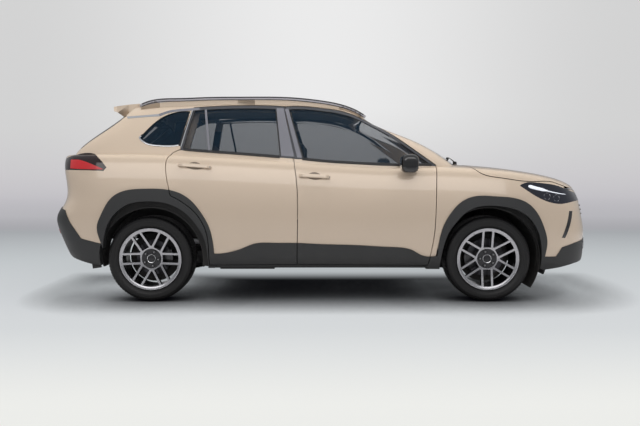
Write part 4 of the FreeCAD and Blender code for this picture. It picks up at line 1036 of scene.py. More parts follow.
@dataclass
class Studio:
    """Camera, lights, floor and backdrop that match the view of the photograph."""

    eye: tuple[float, float, float] = (-0.034, -5.556, 1.049)
    pitch: float = 4.30
    focal_pixels: float = 604.0
    picture_width: float = 640.0
    sensor: float = 36.0
    # Painted light and shade along the floor and up the wall, by y + z: brightest in front of the car,
    # darkest a few metres behind it, lighter again up the wall
    backdrop: tuple[tuple[float, Colour], ...] = (
        (-6.0, srgb(242, 242, 238)), (-2.9, srgb(240, 241, 237)), (-2.2, srgb(222, 225, 225)),
        (-1.7, srgb(210, 214, 216)), (-1.0, srgb(206, 210, 213)), (1.2, srgb(190, 196, 199)),
        (4.2, srgb(164, 168, 172)), (4.9, srgb(168, 168, 173)), (7.4, srgb(188, 187, 192)),
        (14.0, srgb(201, 199, 204)), (16.2, srgb(213, 211, 214)), (18.5, srgb(222, 222, 222)),
        (24.0, srgb(224, 224, 224)))
    # A painted pool of light on the middle of the wall
    halo: Colour = srgb(250, 250, 250)
    sky: Knots = ((0.0, 0.22), (0.46, 0.30), (0.52, 0.44), (0.62, 0.60), (0.80, 0.62), (1.0, 0.80))
    sky_strength: float = 0.72
    glow_share: float = 0.82
    halo_reach: float = 11.0
    halo_rise: float = 3.2
    shadow_reach: float = 0.55
    shadow_power: float = 3.2
    floor_colour: Colour = (0.62, 0.62, 0.63)
    floor_start: float = -14.0
    half_width: float = 16.0
    wall_foot: float = 13.8
    wall_bend: float = 2.2
    wall_top: float = 11.0

    def build(self) -> None:
        """Puts up the whole studio."""
        bpy.context.scene.view_settings.view_transform = "Standard"
        self.camera()
        self.world()
        self.lights()
        self.floor()

    def camera(self) -> None:
        """The camera, level with the shoulder of the car and tipped a little down."""
        data = bpy.data.cameras.new("camera")
        data.sensor_width = self.sensor
        data.lens = self.focal_pixels * self.sensor / self.picture_width
        data.clip_end = 100.0
        camera = bpy.data.objects.new("camera", data)
        camera.location = self.eye
        camera.rotation_euler = (math.radians(90.0 - self.pitch), 0.0, 0.0)
        bpy.context.scene.collection.objects.link(camera)
        bpy.context.scene.camera = camera

    def world(self) -> None:
        """A pale world: a flat grey to the camera, a soft gradient that is darkest below to the car."""
        world = bpy.data.worlds.new("studio")
        world.use_nodes = True
        bpy.context.scene.world = world
        tree = world.node_tree
        lit = tree.nodes["Background"]
        place = wired(tree, "TexCoord")
        parts = wired(tree, "SeparateXYZ", {"Vector": place.outputs["Generated"]})
        rise = wired(tree, "MapRange", {"Value": parts.outputs["Z"], "From Min": -1.0})
        ramp = wired(tree, "ValToRGB", {"Fac": rise.outputs["Result"]})
        self.fill(ramp, [(at, (level, level * 1.01, level * 1.03)) for at, level in self.sky])
        tree.links.new(ramp.outputs["Color"], lit.inputs["Color"])
        lit.inputs["Strength"].default_value = self.sky_strength
        seen = wired(tree, "Background", {"Color": (*self.backdrop[-1][1], 1.0)})
        path = wired(tree, "LightPath")
        pick = wired(tree, "MixShader",
                     {"Fac": path.outputs["Is Camera Ray"], 1: lit.outputs["Background"],
                      2: seen.outputs["Background"]})
        tree.links.new(pick.outputs["Shader"], tree.nodes["World Output"].inputs["Surface"])

    def lamp(self, name: str, place: tuple, target: tuple, size: tuple[float, float], power: float,
             tint: Colour = (1.0, 1.0, 1.0)) -> None:
        """One rectangular soft box.

        Args:
            name: its name.
            place: where it hangs.
            target: what it looks at.
            size: its two edges.
            power: watts.
            tint: its colour.
        """
        data = bpy.data.lights.new(name, "AREA")
        data.shape = "RECTANGLE"
        data.size, data.size_y = size
        data.energy = power
        data.color = tint
        lamp = bpy.data.objects.new(name, data)
        lamp.location = place
        lamp.rotation_euler = (Vector(target) - Vector(place)).to_track_quat("-Z", "Y").to_euler()
        lamp.visible_glossy = name == "near_box"
        bpy.context.scene.collection.objects.link(lamp)

    def lights(self) -> None:
        """A large soft box overhead, one in front of the near side and a weak one at each end."""
        self.lamp("overhead_box", (0.0, -0.6, 4.2), (0.0, 0.0, 0.6), (6.5, 2.6), 185.0, (1.0, 0.98, 0.95))
        self.lamp("near_box", (-0.5, -7.0, 3.6), (0.0, 0.0, 0.7), (9.5, 2.4), 130.0, (1.0, 0.98, 0.97))
        self.lamp("front_box", (6.0, -1.5, 2.6), (1.6, 0.0, 0.8), (2.2, 2.0), 60.0)
        self.lamp("rear_box", (-6.0, -1.0, 2.6), (-1.8, 0.0, 0.9), (2.2, 2.0), 45.0)
        self.lamp("far_box", (0.0, 5.5, 3.0), (0.0, 0.6, 1.2), (6.0, 1.6), 60.0)

    def floor(self) -> None:
        """A pale floor that sweeps up into a wall behind the car; part of it glows to the camera alone."""
        profile = [(self.floor_start, 0.0), (self.wall_foot, 0.0)]
        bend = self.wall_bend
        for k in range(1, 13):
            angle = k / 12 * math.pi / 2
            profile.append((self.wall_foot + bend * math.sin(angle), bend * (1 - math.cos(angle))))
        profile.append((self.wall_foot + bend, self.wall_top))
        edges = (-self.half_width, self.half_width)
        rows = np.array([[(x, y, z) for y, z in profile] for x in edges])
        shape = Shape.grid(rows)
        mesh = bpy.data.meshes.new("studio_floor")
        mesh.from_pydata(shape.points.tolist(), [], shape.faces)
        mesh.shade_smooth()
        material = Finish("studio_floor", self.floor_colour, 0.7).material()
        self.shade(material)
        mesh.materials.append(material)
        piece = bpy.data.objects.new("studio_floor", mesh)
        bpy.context.scene.collection.objects.link(piece)

    def shade(self, material: bpy.types.Material) -> None:
        """Floor colour by the way along its section, y + z, as painted light and shade, with a painted pool
        of light on the wall and a painted shadow where the car stands over it.

        Args:
            material: the floor's material.
        """
        tree = material.node_tree
        shader = tree.nodes["Principled BSDF"]
        place = wired(tree, "TexCoord")
        parts = wired(tree, "SeparateXYZ", {"Vector": place.outputs["Object"]})
        x, y, z = (parts.outputs[axis] for axis in "XYZ")
        start, end = self.backdrop[0][0], self.backdrop[-1][0]
        way = self.share_of(tree, self.calculated(tree, "ADD", y, z), start, end)
        ramp = wired(tree, "ValToRGB", {"Fac": way})
        self.fill(ramp, [((at - start) / (end - start), colour) for at, colour in self.backdrop])
        # Painted pool of light: the halo colour blended in towards the wall's middle and up its height
        inwards = self.share_of(tree, self.calculated(tree, "ABSOLUTE", x), 0.0, self.halo_reach, smooth=True,
                                falling=True)
        upwards = self.share_of(tree, z, 0.0, self.halo_rise)
        wall = self.mixed(tree, self.calculated(tree, "MULTIPLY", inwards, upwards), ramp.outputs["Color"],
                          (*self.halo, 1.0))
        # Painted shadow under the car: ambient occlusion darkens the floor, except past the car's middle line
        # on the far side, where it fades out and the floor is left unshadowed
        open_sky = wired(tree, "AmbientOcclusion", {"Distance": self.shadow_reach}, samples=12)
        dark = self.calculated(tree, "POWER", open_sky.outputs["AO"], self.shadow_power)
        behind = self.share_of(tree, y, 0.0, self.shadow_reach, smooth=True)
        depth = self.calculated(tree, "MAXIMUM", dark, behind)
        shown = self.mixed(tree, depth, (0.0, 0.0, 0.001, 1.0), wall)
        # The same painted shadow darkens the floor's base colour, so the car's reflections and bounced light
        # see it too
        lit = self.mixed(tree, depth, (0.02, 0.02, 0.02, 1.0), (*self.floor_colour, 1.0))
        tree.links.new(lit, shader.inputs["Base Color"])
        glow = wired(tree, "Emission", {"Color": shown})
        path = wired(tree, "LightPath")
        amount = self.calculated(tree, "MULTIPLY", path.outputs["Is Camera Ray"], self.glow_share)
        blend = wired(tree, "MixShader",
                      {"Fac": amount, 1: shader.outputs["BSDF"], 2: glow.outputs["Emission"]})
        tree.links.new(blend.outputs["Shader"], tree.nodes["Material Output"].inputs["Surface"])

    @staticmethod
    def calculated(tree: bpy.types.NodeTree, kind: str, first: bpy.types.NodeSocket,
                   second: bpy.types.NodeSocket | float = 0.0) -> bpy.types.NodeSocket:
        """One Math node.

        Args:
            tree: where it goes.
            kind: its operation.
            first: what feeds its first input.
            second: what feeds its second, or its value.

        Returns:
            Its output.
        """
        return wired(tree, "Math", {0: first, 1: second}, operation=kind).outputs["Value"]

    @staticmethod
    def mixed(tree: bpy.types.NodeTree, share: bpy.types.NodeSocket, first: object,
              second: object) -> bpy.types.NodeSocket:
        """One colour mix.

        Args:
            tree: where it goes.
            share: how much of the second colour shows.
            first: the first colour or what feeds it.
            second: the second.

        Returns:
            Its output.
        """
        node = wired(tree, "Mix", {"Factor": share, "A": first, "B": second}, data_type="RGBA")
        return node.outputs["Result"]

    @staticmethod
    def share_of(tree: bpy.types.NodeTree, source: bpy.types.NodeSocket, start: float, end: float,
                 smooth: bool = False, falling: bool = False) -> bpy.types.NodeSocket:
        """How far a value has come from start to end, from 0 to 1.

        Args:
            tree: where the node goes.
            source: the value.
            start: where the share begins.
            end: where it is done.
            smooth: whether it eases in and out.
            falling: whether it runs from 1 to 0 in place of 0 to 1.

        Returns:
            The node's output.
        """
        node = wired(tree, "MapRange",
                     {"Value": source, "From Min": start, "From Max": end, "To Min": float(falling),
                      "To Max": float(not falling)}, interpolation_type="SMOOTHSTEP" if smooth else "LINEAR")
        return node.outputs["Result"]

    @staticmethod
    def fill(ramp: bpy.types.Node, stops: list[tuple[float, Colour]]) -> None:
        """Gives a colour ramp its stops.

        Args:
            ramp: the node.
            stops: place from 0 to 1 and colour of each, in order.
        """
        while len(ramp.color_ramp.elements) < len(stops):
            ramp.color_ramp.elements.new(0.5)
        for element, (place, colour) in zip(ramp.color_ramp.elements, stops):
            element.position = place
            element.color = (*colour, 1.0)


class View(Enum):
    """Directions to look along at the skins: the two axes seen, the axis of sight and its outward sign."""

    BESIDE = (0, 2, 1, 1)
    AHEAD = (1, 2, 0, 1)
    BEHIND = (1, 2, 0, -1)
    ABOVE = (0, 1, 2, 1)


class Surface:
    """The outermost of the two skins as seen from a side, with pieces laid on it."""

    def __init__(self, skins: list[Skin]) -> None:
        """Keeps the skins.

        Args:
            skins: the lower and the upper skin.
        """
        self.skins = skins
        self.trees: dict[View, list[KDTree]] = {}

    def seeds(self, view: View) -> list[KDTree]:
        """Trees of the skins' seeds as the view sees them, made once for each view."""
        if view not in self.trees:
            self.trees[view] = []
            first, second, sight, sign = view.value
            for skin in self.skins:
                point, along_u, along_v = skin.at(skin.seeds)
                normal = np.cross(along_v, along_u)
                tree = KDTree(len(skin.seeds))
                for number, (spot, lean) in enumerate(zip(point, normal)):
                    if lean[sight] * sign > 0:
                        tree.insert((spot[first], spot[second], 0.0), number)
                tree.balance()
                self.trees[view].append(tree)
        return self.trees[view]

    def seen(self, a: np.ndarray, b: np.ndarray, view: View = View.BESIDE) -> tuple[np.ndarray, np.ndarray]:
        """Points and outward normals at places given in a view, by Newton steps; beside means the left side.

        Args:
            a: places along the view's first axis.
            b: places along its second axis.
            view: where it is looked at from.

        Returns:
            (n, 3) points and unit normals.
        """
        first, second, sight, sign = view.value
        a, b = np.ravel(a).astype(float), np.ravel(b).astype(float)
        across = a if first == 1 else b if second == 1 else np.ones(len(a))
        flip = np.stack([np.ones(len(a)), np.where(across < 0, -1.0, 1.0), np.ones(len(a))], axis=1)
        if first == 1:
            a = np.abs(a)
        if second == 1:
            b = np.abs(b)
        best = np.zeros((len(a), 3))
        best[:, sight] = -9.0 * sign
        best_normal = np.zeros((len(a), 3))
        best_normal[:, sight] = sign
        for skin, tree in zip(self.skins, self.seeds(view)):
            places = skin.seeds[[tree.find((p, q, 0.0))[1] for p, q in zip(a, b)]].copy()
            for _ in range(8):
                point, along_u, along_v = skin.at(places)
                right, up = a - point[:, first], b - point[:, second]
                size = along_u[:, first] * along_v[:, second] - along_v[:, first] * along_u[:, second]
                size = np.where(np.abs(size) < 1e-9, 1e-9, size)
                step = np.stack([(right * along_v[:, second] - up * along_v[:, first]) / size,
                                 (up * along_u[:, first] - right * along_u[:, second]) / size], axis=1)
                places = np.clip(places + np.clip(step, -0.4, 0.4), 0, skin.spans)
            point, along_u, along_v = skin.at(places)
            normal = np.cross(along_v, along_u)
            normal /= np.maximum(np.linalg.norm(normal, axis=1, keepdims=True), 1e-9)
            hit = np.hypot(a - point[:, first], b - point[:, second]) < 0.003
            hit &= (point[:, sight] - best[:, sight]) * sign > 0
            best[hit] = point[hit]
            best_normal[hit] = normal[hit]
        return best * flip, best_normal * flip

    def line(self, knots: Knots | list, count: int, lift: float = 0.0,
             view: View = View.BESIDE) -> tuple[np.ndarray, np.ndarray]:
        """A curve on the skin through places given in a view.

        Args:
            knots: the places.
            count: how many points to return.
            lift: how far off the skin.
            view: where the places are given.

        Returns:
            Points and normals.
        """
        flat = smooth_curve(knots, count)
        points, normals = self.seen(flat[:, 0], flat[:, 1], view)
        return points + normals * lift, normals

    def strip(self, knots: Knots | list, profile: np.ndarray, count: int = 60, lift: float = 0.0,
              scale: np.ndarray | None = None) -> Shape:
        """A profile carried along a curve on the skin's side, its top along the normal.

        Args:
            knots: places seen from beside.
            profile: outline of (across, outwards) distances.
            count: stations.
            lift: how far off the skin the profile's middle runs.
            scale: a factor on the profile at each station.

        Returns:
            The strip on the left side.
        """
        points, normals = self.line(knots, count, lift)
        return Shape.sweep(points, profile, up=normals, scale=scale).outward()

    def patch(self, lower: Knots | list, upper: Knots | list, lift: float, depth: float,
              size: tuple[int, int] = (10, 40), view: View = View.BESIDE) -> Shape:
        """A thin closed panel between two curves in a view, with its face off the skin.

        Args:
            lower: places along its lower edge.
            upper: places along its upper edge, in the same direction.
            lift: how far its face stands off the skin.
            depth: how thick it is.
            size: rows and columns.
            view: where the places are given.

        Returns:
            The panel on the left side.
        """
        rows, columns = size
        low, high = smooth_curve(lower, columns), smooth_curve(upper, columns)
        share = np.linspace(0, 1, rows)[:, None, None]
        flat = low[None] * (1 - share) + high[None] * share
        points, normals = self.seen(flat[..., 0], flat[..., 1], view)
        top = (points + normals * lift).reshape(rows, columns, 3)
        under = (points + normals * (lift - depth)).reshape(rows, columns, 3)[:, ::-1]
        whole = np.concatenate([top, under], axis=1)
        shape = Shape.grid(whole, wrap_v=True)
        ends = [tuple(range(2 * columns)), tuple(range((rows - 1) * 2 * columns, rows * 2 * columns))]
        faces = []
        for ring, flip in zip(ends, (True, False)):
            half = [(ring[k], ring[k + 1], ring[-k - 2], ring[-k - 1]) for k in range(columns - 1)]
            faces += [quad[::-1] if flip else quad for quad in half]
        return Shape(shape.points, shape.faces + faces).outward()

    def seat(self, shape: Shape, a: float, b: float, view: View = View.BESIDE) -> Shape:
        """A shape turned about its y axis, set on the skin with that axis along the skin's normal.

        Args:
            shape: the shape, made about the origin.
            a: its place across the view.
            b: its height in the view.
            view: the view.

        Returns:
            The shape in its place.
        """
        point, normal = self.seen(np.array([a]), np.array([b]), view)
        return shape.turned_by(turn_to(normal[0])).moved(tuple(point[0]))

    def level(self, z: float, reach: float, lift: float, view: View,
              count: int = 41) -> tuple[np.ndarray, np.ndarray]:
        """A level line over the nose or the tail, from side to side.

        Args:
            z: its height.
            reach: how far it goes to either side.
            lift: how far it stands off the skin.
            view: the end it lies on.
            count: how many points.

        Returns:
            Points and normals.
        """
        points, normals = self.seen(np.linspace(-reach, reach, count), np.full(count, z), view)
        return points + normals * lift, normals

    def plate(self, z: float, view: View, lifts: tuple[float, float], holder: tuple[float, float, float],
              half_height: float) -> Shape:
        """A blank plate in its holder, bent with the skin.

        Args:
            z: height of its middle.
            view: the end it lies on.
            lifts: how far the holder and the plate stand off the skin.
            holder: the holder's half height, half thickness and corner radius.
            half_height: the plate's.

        Returns:
            The plate in finish 0 and its holder in finish 1.
        """
        path, normals = self.level(z, 0.262, lifts[0], view)
        frame_bar = Shape.bar(path, (*holder, 4), up=normals).painted(1)
        path, normals = self.level(z, 0.256, lifts[1], view)
        face = Shape.bar(path, (half_height, 0.0016, 0.0012, 4), up=normals).painted(0)
        return Shape.joined([frame_bar, face])


class Edges:
    """Outlines of packed panes: the loops round the faces that lie along a skin."""

    def __init__(self, skins: list[Skin]) -> None:
        """Keeps the skins.

        Args:
            skins: both skins.
        """
        self.skins = skins

    def loops(self, node: str, side: Side, reach: float = 0.0085) -> list[tuple[np.ndarray, np.ndarray]]:
        """Closed loops round a node's outer faces, longest first, with the skin's normals.

        Args:
            node: the node's name.
            side: which side's loops are wanted.
            reach: how far under the skin its outer face may lie.

        Returns:
            (points, normals) of each loop.
        """
        shape = welded(node)
        points = np.array([v.co for v in shape.verts])
        half = points * np.array([1.0, side.value, 1.0])
        normals = np.zeros_like(points)
        best = np.full(len(points), np.inf)
        for skin in self.skins:
            _, normal, distance = skin.nearest(half)
            closer = distance < best
            normals[closer] = normal[closer]
            best[closer] = distance[closer]
        normals *= np.array([1.0, side.value, 1.0])
        outer = set()
        for face in shape.faces:
            numbers = [v.index for v in face.verts]
            lean = normals[numbers].mean(axis=0) @ np.array(face.normal)
            on_side = face.calc_center_median().y * side.value > 0
            if on_side and best[numbers].max() < reach and abs(lean) > 0.9:
                outer.add(face.index)
        after: dict[int, list[int]] = {}
        for edge in shape.edges:
            if sum(face.index in outer for face in edge.link_faces) == 1:
                a, b = (v.index for v in edge.verts)
                after.setdefault(a, []).append(b)
                after.setdefault(b, []).append(a)
        shape.free()
        found = []
        while after:
            here = start = next(iter(after))
            loop = [start]
            while after.get(here):
                there = after[here].pop()
                if here in after.get(there, []):
                    after[there].remove(here)
                here = there
                if here == start:
                    break
                loop.append(here)
            after = {k: v for k, v in after.items() if v}
            if len(loop) > 8:
                found.append((points[loop], normals[loop]))
        found.sort(key=lambda item: -np.linalg.norm(np.diff(item[0], axis=0), axis=1).sum())
        return found

    @staticmethod
    def evened(points: np.ndarray, normals: np.ndarray, gap: float) -> tuple[np.ndarray, np.ndarray]:
        """A closed loop's points spread evenly.

        Args:
            points: the loop.
            normals: its normals.
            gap: distance between the new points.

        Returns:
            New points and unit normals.
        """
        ring, lean = np.vstack([points, points[:1]]), np.vstack([normals, normals[:1]])
        reach = np.concatenate([[0], np.cumsum(np.linalg.norm(np.diff(ring, axis=0), axis=1))])
        count = max(8, int(reach[-1] / gap))
        at = np.linspace(0, reach[-1], count, endpoint=False)
        even = np.stack([np.interp(at, reach, ring[:, k]) for k in range(3)], axis=1)
        turn = np.stack([np.interp(at, reach, lean[:, k]) for k in range(3)], axis=1)
        return even, turn / np.linalg.norm(turn, axis=1, keepdims=True)


@dataclass
class Wheel:
    """One wheel: a machined rim from its node, a treaded tyre, cap, nuts, disc, shield and caliper."""

    axle: Axle
    side: Side
    spin: float
    radius: float = 0.335
    half_width: float = 0.1125
    nut_circle: float = 0.057
    grooves: tuple[float, ...] = (-0.052, -0.019, 0.019, 0.052)
    pitches: int = 78

    @property
    def centre(self) -> np.ndarray:
        """The wheel's middle."""
        low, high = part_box("tyre_" + self.tag)
        return (np.array(low) + np.array(high)) / 2

    @property
    def tag(self) -> str:
        """End of the wheel's node names."""
        return "%s_%s" % (self.axle.word, self.side.word)

    def place(self, shape: Shape) -> Shape:
        """Puts a left wheel's shape, made about the origin with +y outwards, at this wheel."""
        turned = shape.turned_by(rotation_y(math.radians(self.spin)))
        if self.side is Side.RIGHT:
            turned = turned.turned_by(rotation_z(math.pi))
        return turned.moved(tuple(self.centre))

    def build(self) -> None:
        """Makes every piece of the wheel."""
        body = "wheel_" + self.tag
        self.rim(body)
        put("tread_" + self.tag, self.place(self.tyre()), body, "tyre", Palette.tyre, sharp=28.0,
            replaces=("tyre_" + self.tag,))
        put("wheel_cap_" + self.tag, self.place(self.cap()), body, "alloy", Palette.dark_alloy,
            Palette.chrome, Palette.steel, sharp=30.0)
        put("brake_disc_" + self.tag, self.place(self.disc()), body, "steel", Palette.disc, Palette.iron,
            sharp=30.0)
        carrier = "steer_" + self.side.word if self.axle is Axle.FRONT else "body_shell"
        put("brake_shield_" + self.tag, self.shield().on(self.side).moved(
            (self.centre[0], 0.0, self.centre[2])), carrier, "steel", Palette.under, sharp=32.0)
        put("brake_caliper_" + self.tag, self.caliper().on(self.side).moved(
            (self.centre[0], 0.0, self.centre[2])), carrier, "steel", Palette.caliper, sharp=32.0)

    def rim(self, body: str) -> None:
        """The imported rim, welded, with bright machined faces and dark flanks."""
        node = "rim_" + self.tag
        shape = welded(node)
        bmesh.ops.recalc_face_normals(shape, faces=shape.faces)
        mesh = bpy.data.meshes.new("machined_" + node)
        shape.to_mesh(mesh)
        shape.free()
        mesh.materials.clear()
        for finish in (Palette.dark_alloy, Palette.bright):
            mesh.materials.append(finish.material())
        facing = read_out(mesh.polygons, "normal")[:, 1] * self.side.value
        offset = read_out(mesh.polygons, "center") - self.centre
        outward = offset[:, 1] * self.side.value
        reach = np.hypot(offset[:, 0], offset[:, 2])
        bright = (facing > 0.80) & (outward > 0.055) & (reach > 0.074)
        mesh.polygons.foreach_set("material_index", bright.astype(np.int32))
        mesh.shade_smooth()
        mesh.set_sharp_from_angle(angle=math.radians(26))
        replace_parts(linked(mesh.name, mesh, body, "alloy"), node)

    def tyre(self) -> Shape:
        """Tyre about the y axis: a bead-to-bead section carried round, sunk where grooves and sipes run.

        The crown drops by the groove depth inside each straight groove, and by a share of it in the
        slanted cuts across the ribs and the shoulders; two fine steps ring each flank.
        """
        flank = [(-0.090, 0.2293), (-0.0905, 0.2455), (-0.1020, 0.2560), (-0.1100, 0.2700), (-0.1122, 0.2790),
                 (-0.1112, 0.2800), (-0.1124, 0.2880), (-0.1108, 0.3050), (-0.1096, 0.3060),
                 (-0.1048, 0.3175), (-0.0960, 0.3262), (-0.0880, 0.3300)]
        crown = []
        for groove in self.grooves:
            crown += [groove - 0.0052, groove - 0.0034, groove + 0.0034, groove + 0.0052]
        ribs = [-0.078, -0.068, -0.036, 0.0, 0.036, 0.068, 0.078]
        across = np.array(sorted(crown + ribs))
        top = self.radius - 0.0022 * (across / 0.078) ** 2
        section = np.array(flank + list(zip(across, top)) + [(-a, r) for a, r in flank[::-1]])
        steps = self.pitches * 6
        turn = np.linspace(0, 2 * np.pi, steps, endpoint=False)[:, None]
        y = np.broadcast_to(section[None, :, 0], (steps, len(section)))
        r = np.broadcast_to(section[None, :, 1], (steps, len(section))).copy()
        crowned = np.abs(y) < 0.0785
        in_groove = np.zeros_like(crowned)
        for groove in self.grooves:
            in_groove |= np.abs(y - groove) < 0.0036
        r -= np.where(in_groove, 0.0075, 0.0)
        phase = (turn / (2 * np.pi) * self.pitches + 5.5 * np.abs(y)) % 1.0
        sipe = (phase < 0.17) & crowned & ~in_groove & (np.abs(y) > 0.030)
        r -= np.where(sipe, 0.0055, 0.0)
        shoulder = (phase < 0.34) & (np.abs(y) >= 0.080) & (np.abs(y) < 0.100) & (section[None, :, 1] > 0.32)
        r -= np.where(shoulder, 0.0035, 0.0)
        points = np.stack([r * np.sin(turn), y, r * np.cos(turn)], axis=-1)
        return Shape.grid(points, wrap_u=True, wrap_v=True).outward()

    def cap(self) -> Shape:
        """Hub cap, five nuts in their pockets and the valve."""
        cap = Shape.turned([(0.0, 0.0725), (0.020, 0.0722), (0.026, 0.0705), (0.029, 0.0665), (0.030, 0.058),
                            (0.0, 0.058)], 48).painted(0)
        ring = Shape.turned([(0.0305, 0.060), (0.0345, 0.060), (0.0345, 0.0668), (0.033, 0.0685),
                             (0.0305, 0.0675)], 48, wrap=True).painted(1)
        pieces = [cap, ring]
        nut = Shape.turned([(0.0, 0.0795), (0.005, 0.0795), (0.0085, 0.0765), (0.0095, 0.072),
                            (0.0095, 0.060), (0.0, 0.060)], 6).painted(2)
        cup = Shape.turned([(0.0105, 0.0635), (0.0135, 0.0640), (0.0135, 0.0660), (0.0120, 0.0668),
                            (0.0105, 0.0660)], 20, wrap=True).painted(0)
        for k in range(5):
            angle = 2 * math.pi * k / 5 + 0.3
            spot = (self.nut_circle * math.sin(angle), 0.0, self.nut_circle * math.cos(angle))
            pieces += [nut.moved(spot), cup.moved(spot)]
        valve = Shape.turned([(0.0, 0.104), (0.0028, 0.103), (0.0032, 0.094), (0.0045, 0.088), (0.0, 0.088)],
                             12)
        pieces.append(valve.painted(0).moved((0.226 * math.sin(0.52), -0.004, 0.226 * math.cos(0.52))))
        return Shape.joined([piece.outward() for piece in pieces])

    def disc(self) -> Shape:
        """Vented brake disc behind the spokes: two cheeks with vanes between them, and a hat."""
        outer, inner = (0.150, 0.090) if self.axle is Axle.FRONT else (0.140, 0.085)
        front = Shape.turned([(inner, -0.012), (outer - 0.002, -0.012), (outer, -0.014), (outer, -0.020),
                              (inner, -0.020)], 72, wrap=True).painted(0)
        back = front.moved((0.0, -0.014, 0.0))
        vanes = []
        for k in range(36):
            angle = 2 * math.pi * k / 36
            vane = Shape.sweep(np.array([(inner, -0.023, 0.0), (outer - 0.004, -0.023, 0.012)]),
                               rounded_bar(0.0018, 0.0035, 0.0008, 2), up=(0, 1, 0)).painted(1)
            vanes.append(vane.turned_by(rotation_y(angle)))
        hat = Shape.turned([(0.0, 0.014), (0.068, 0.014), (0.074, 0.010), (0.078, -0.014),
                            (inner + 0.001, -0.014), (inner + 0.001, -0.018), (0.070, -0.018), (0.0, -0.017)],
                           60).painted(1)
        return Shape.joined([piece.outward() for piece in (front, back, hat)] + vanes)

    def shield(self) -> Shape:
        """A pressed plate behind the disc, nearly as wide as the rim's barrel, with a turned edge."""
        face = abs(self.centre[1]) - 0.064
        wall = Shape.turned([(0.050, face), (0.120, face), (0.128, face - 0.006), (0.190, face - 0.006),
                             (0.196, face), (0.196, face + 0.012), (0.198, face + 0.012),
                             (0.198, face - 0.001), (0.191, face - 0.008), (0.127, face - 0.008),
                             (0.119, face - 0.002), (0.050, face - 0.002)], 72, wrap=True)
        return wall.outward()

    def caliper(self) -> Shape:
        """A floating caliper that spans the disc, on the side away from the car's end."""
        front = self.axle is Axle.FRONT
        outer = 0.158 if front else 0.147
        mid = math.radians(-98 if front else 82)
        spread = math.radians(26 if front else 21)
        turn = np.linspace(mid - spread, mid + spread, 15)
        bulge = np.clip(1.25 - np.abs(np.linspace(-1, 1, 15)) ** 6, 0.6, 1.0)
        across = rounded_bar(0.036, 0.012, 0.006, 4)
        base = abs(self.centre[1])
        rim = np.stack([outer * np.sin(turn), np.full(15, base - 0.023), outer * np.cos(turn)], axis=1)
        up = np.stack([np.sin(turn), np.zeros(15), np.cos(turn)], axis=1)
        bridge = Shape.sweep(rim, across, up=up, scale=bulge)
        pad_path = np.stack([(outer - 0.030) * np.sin(turn), np.full(15, base + 0.002),
                             (outer - 0.030) * np.cos(turn)], axis=1)
        cheek = Shape.sweep(pad_path, rounded_bar(0.009, 0.034, 0.006, 4), up=up, scale=bulge)
        inner_path = pad_path + np.array([0.0, -0.052, 0.0])
        back = Shape.sweep(inner_path, rounded_bar(0.012, 0.032, 0.006, 4), up=up, scale=bulge)
        return Shape.joined([piece.outward() for piece in (bridge, cheek, back)])


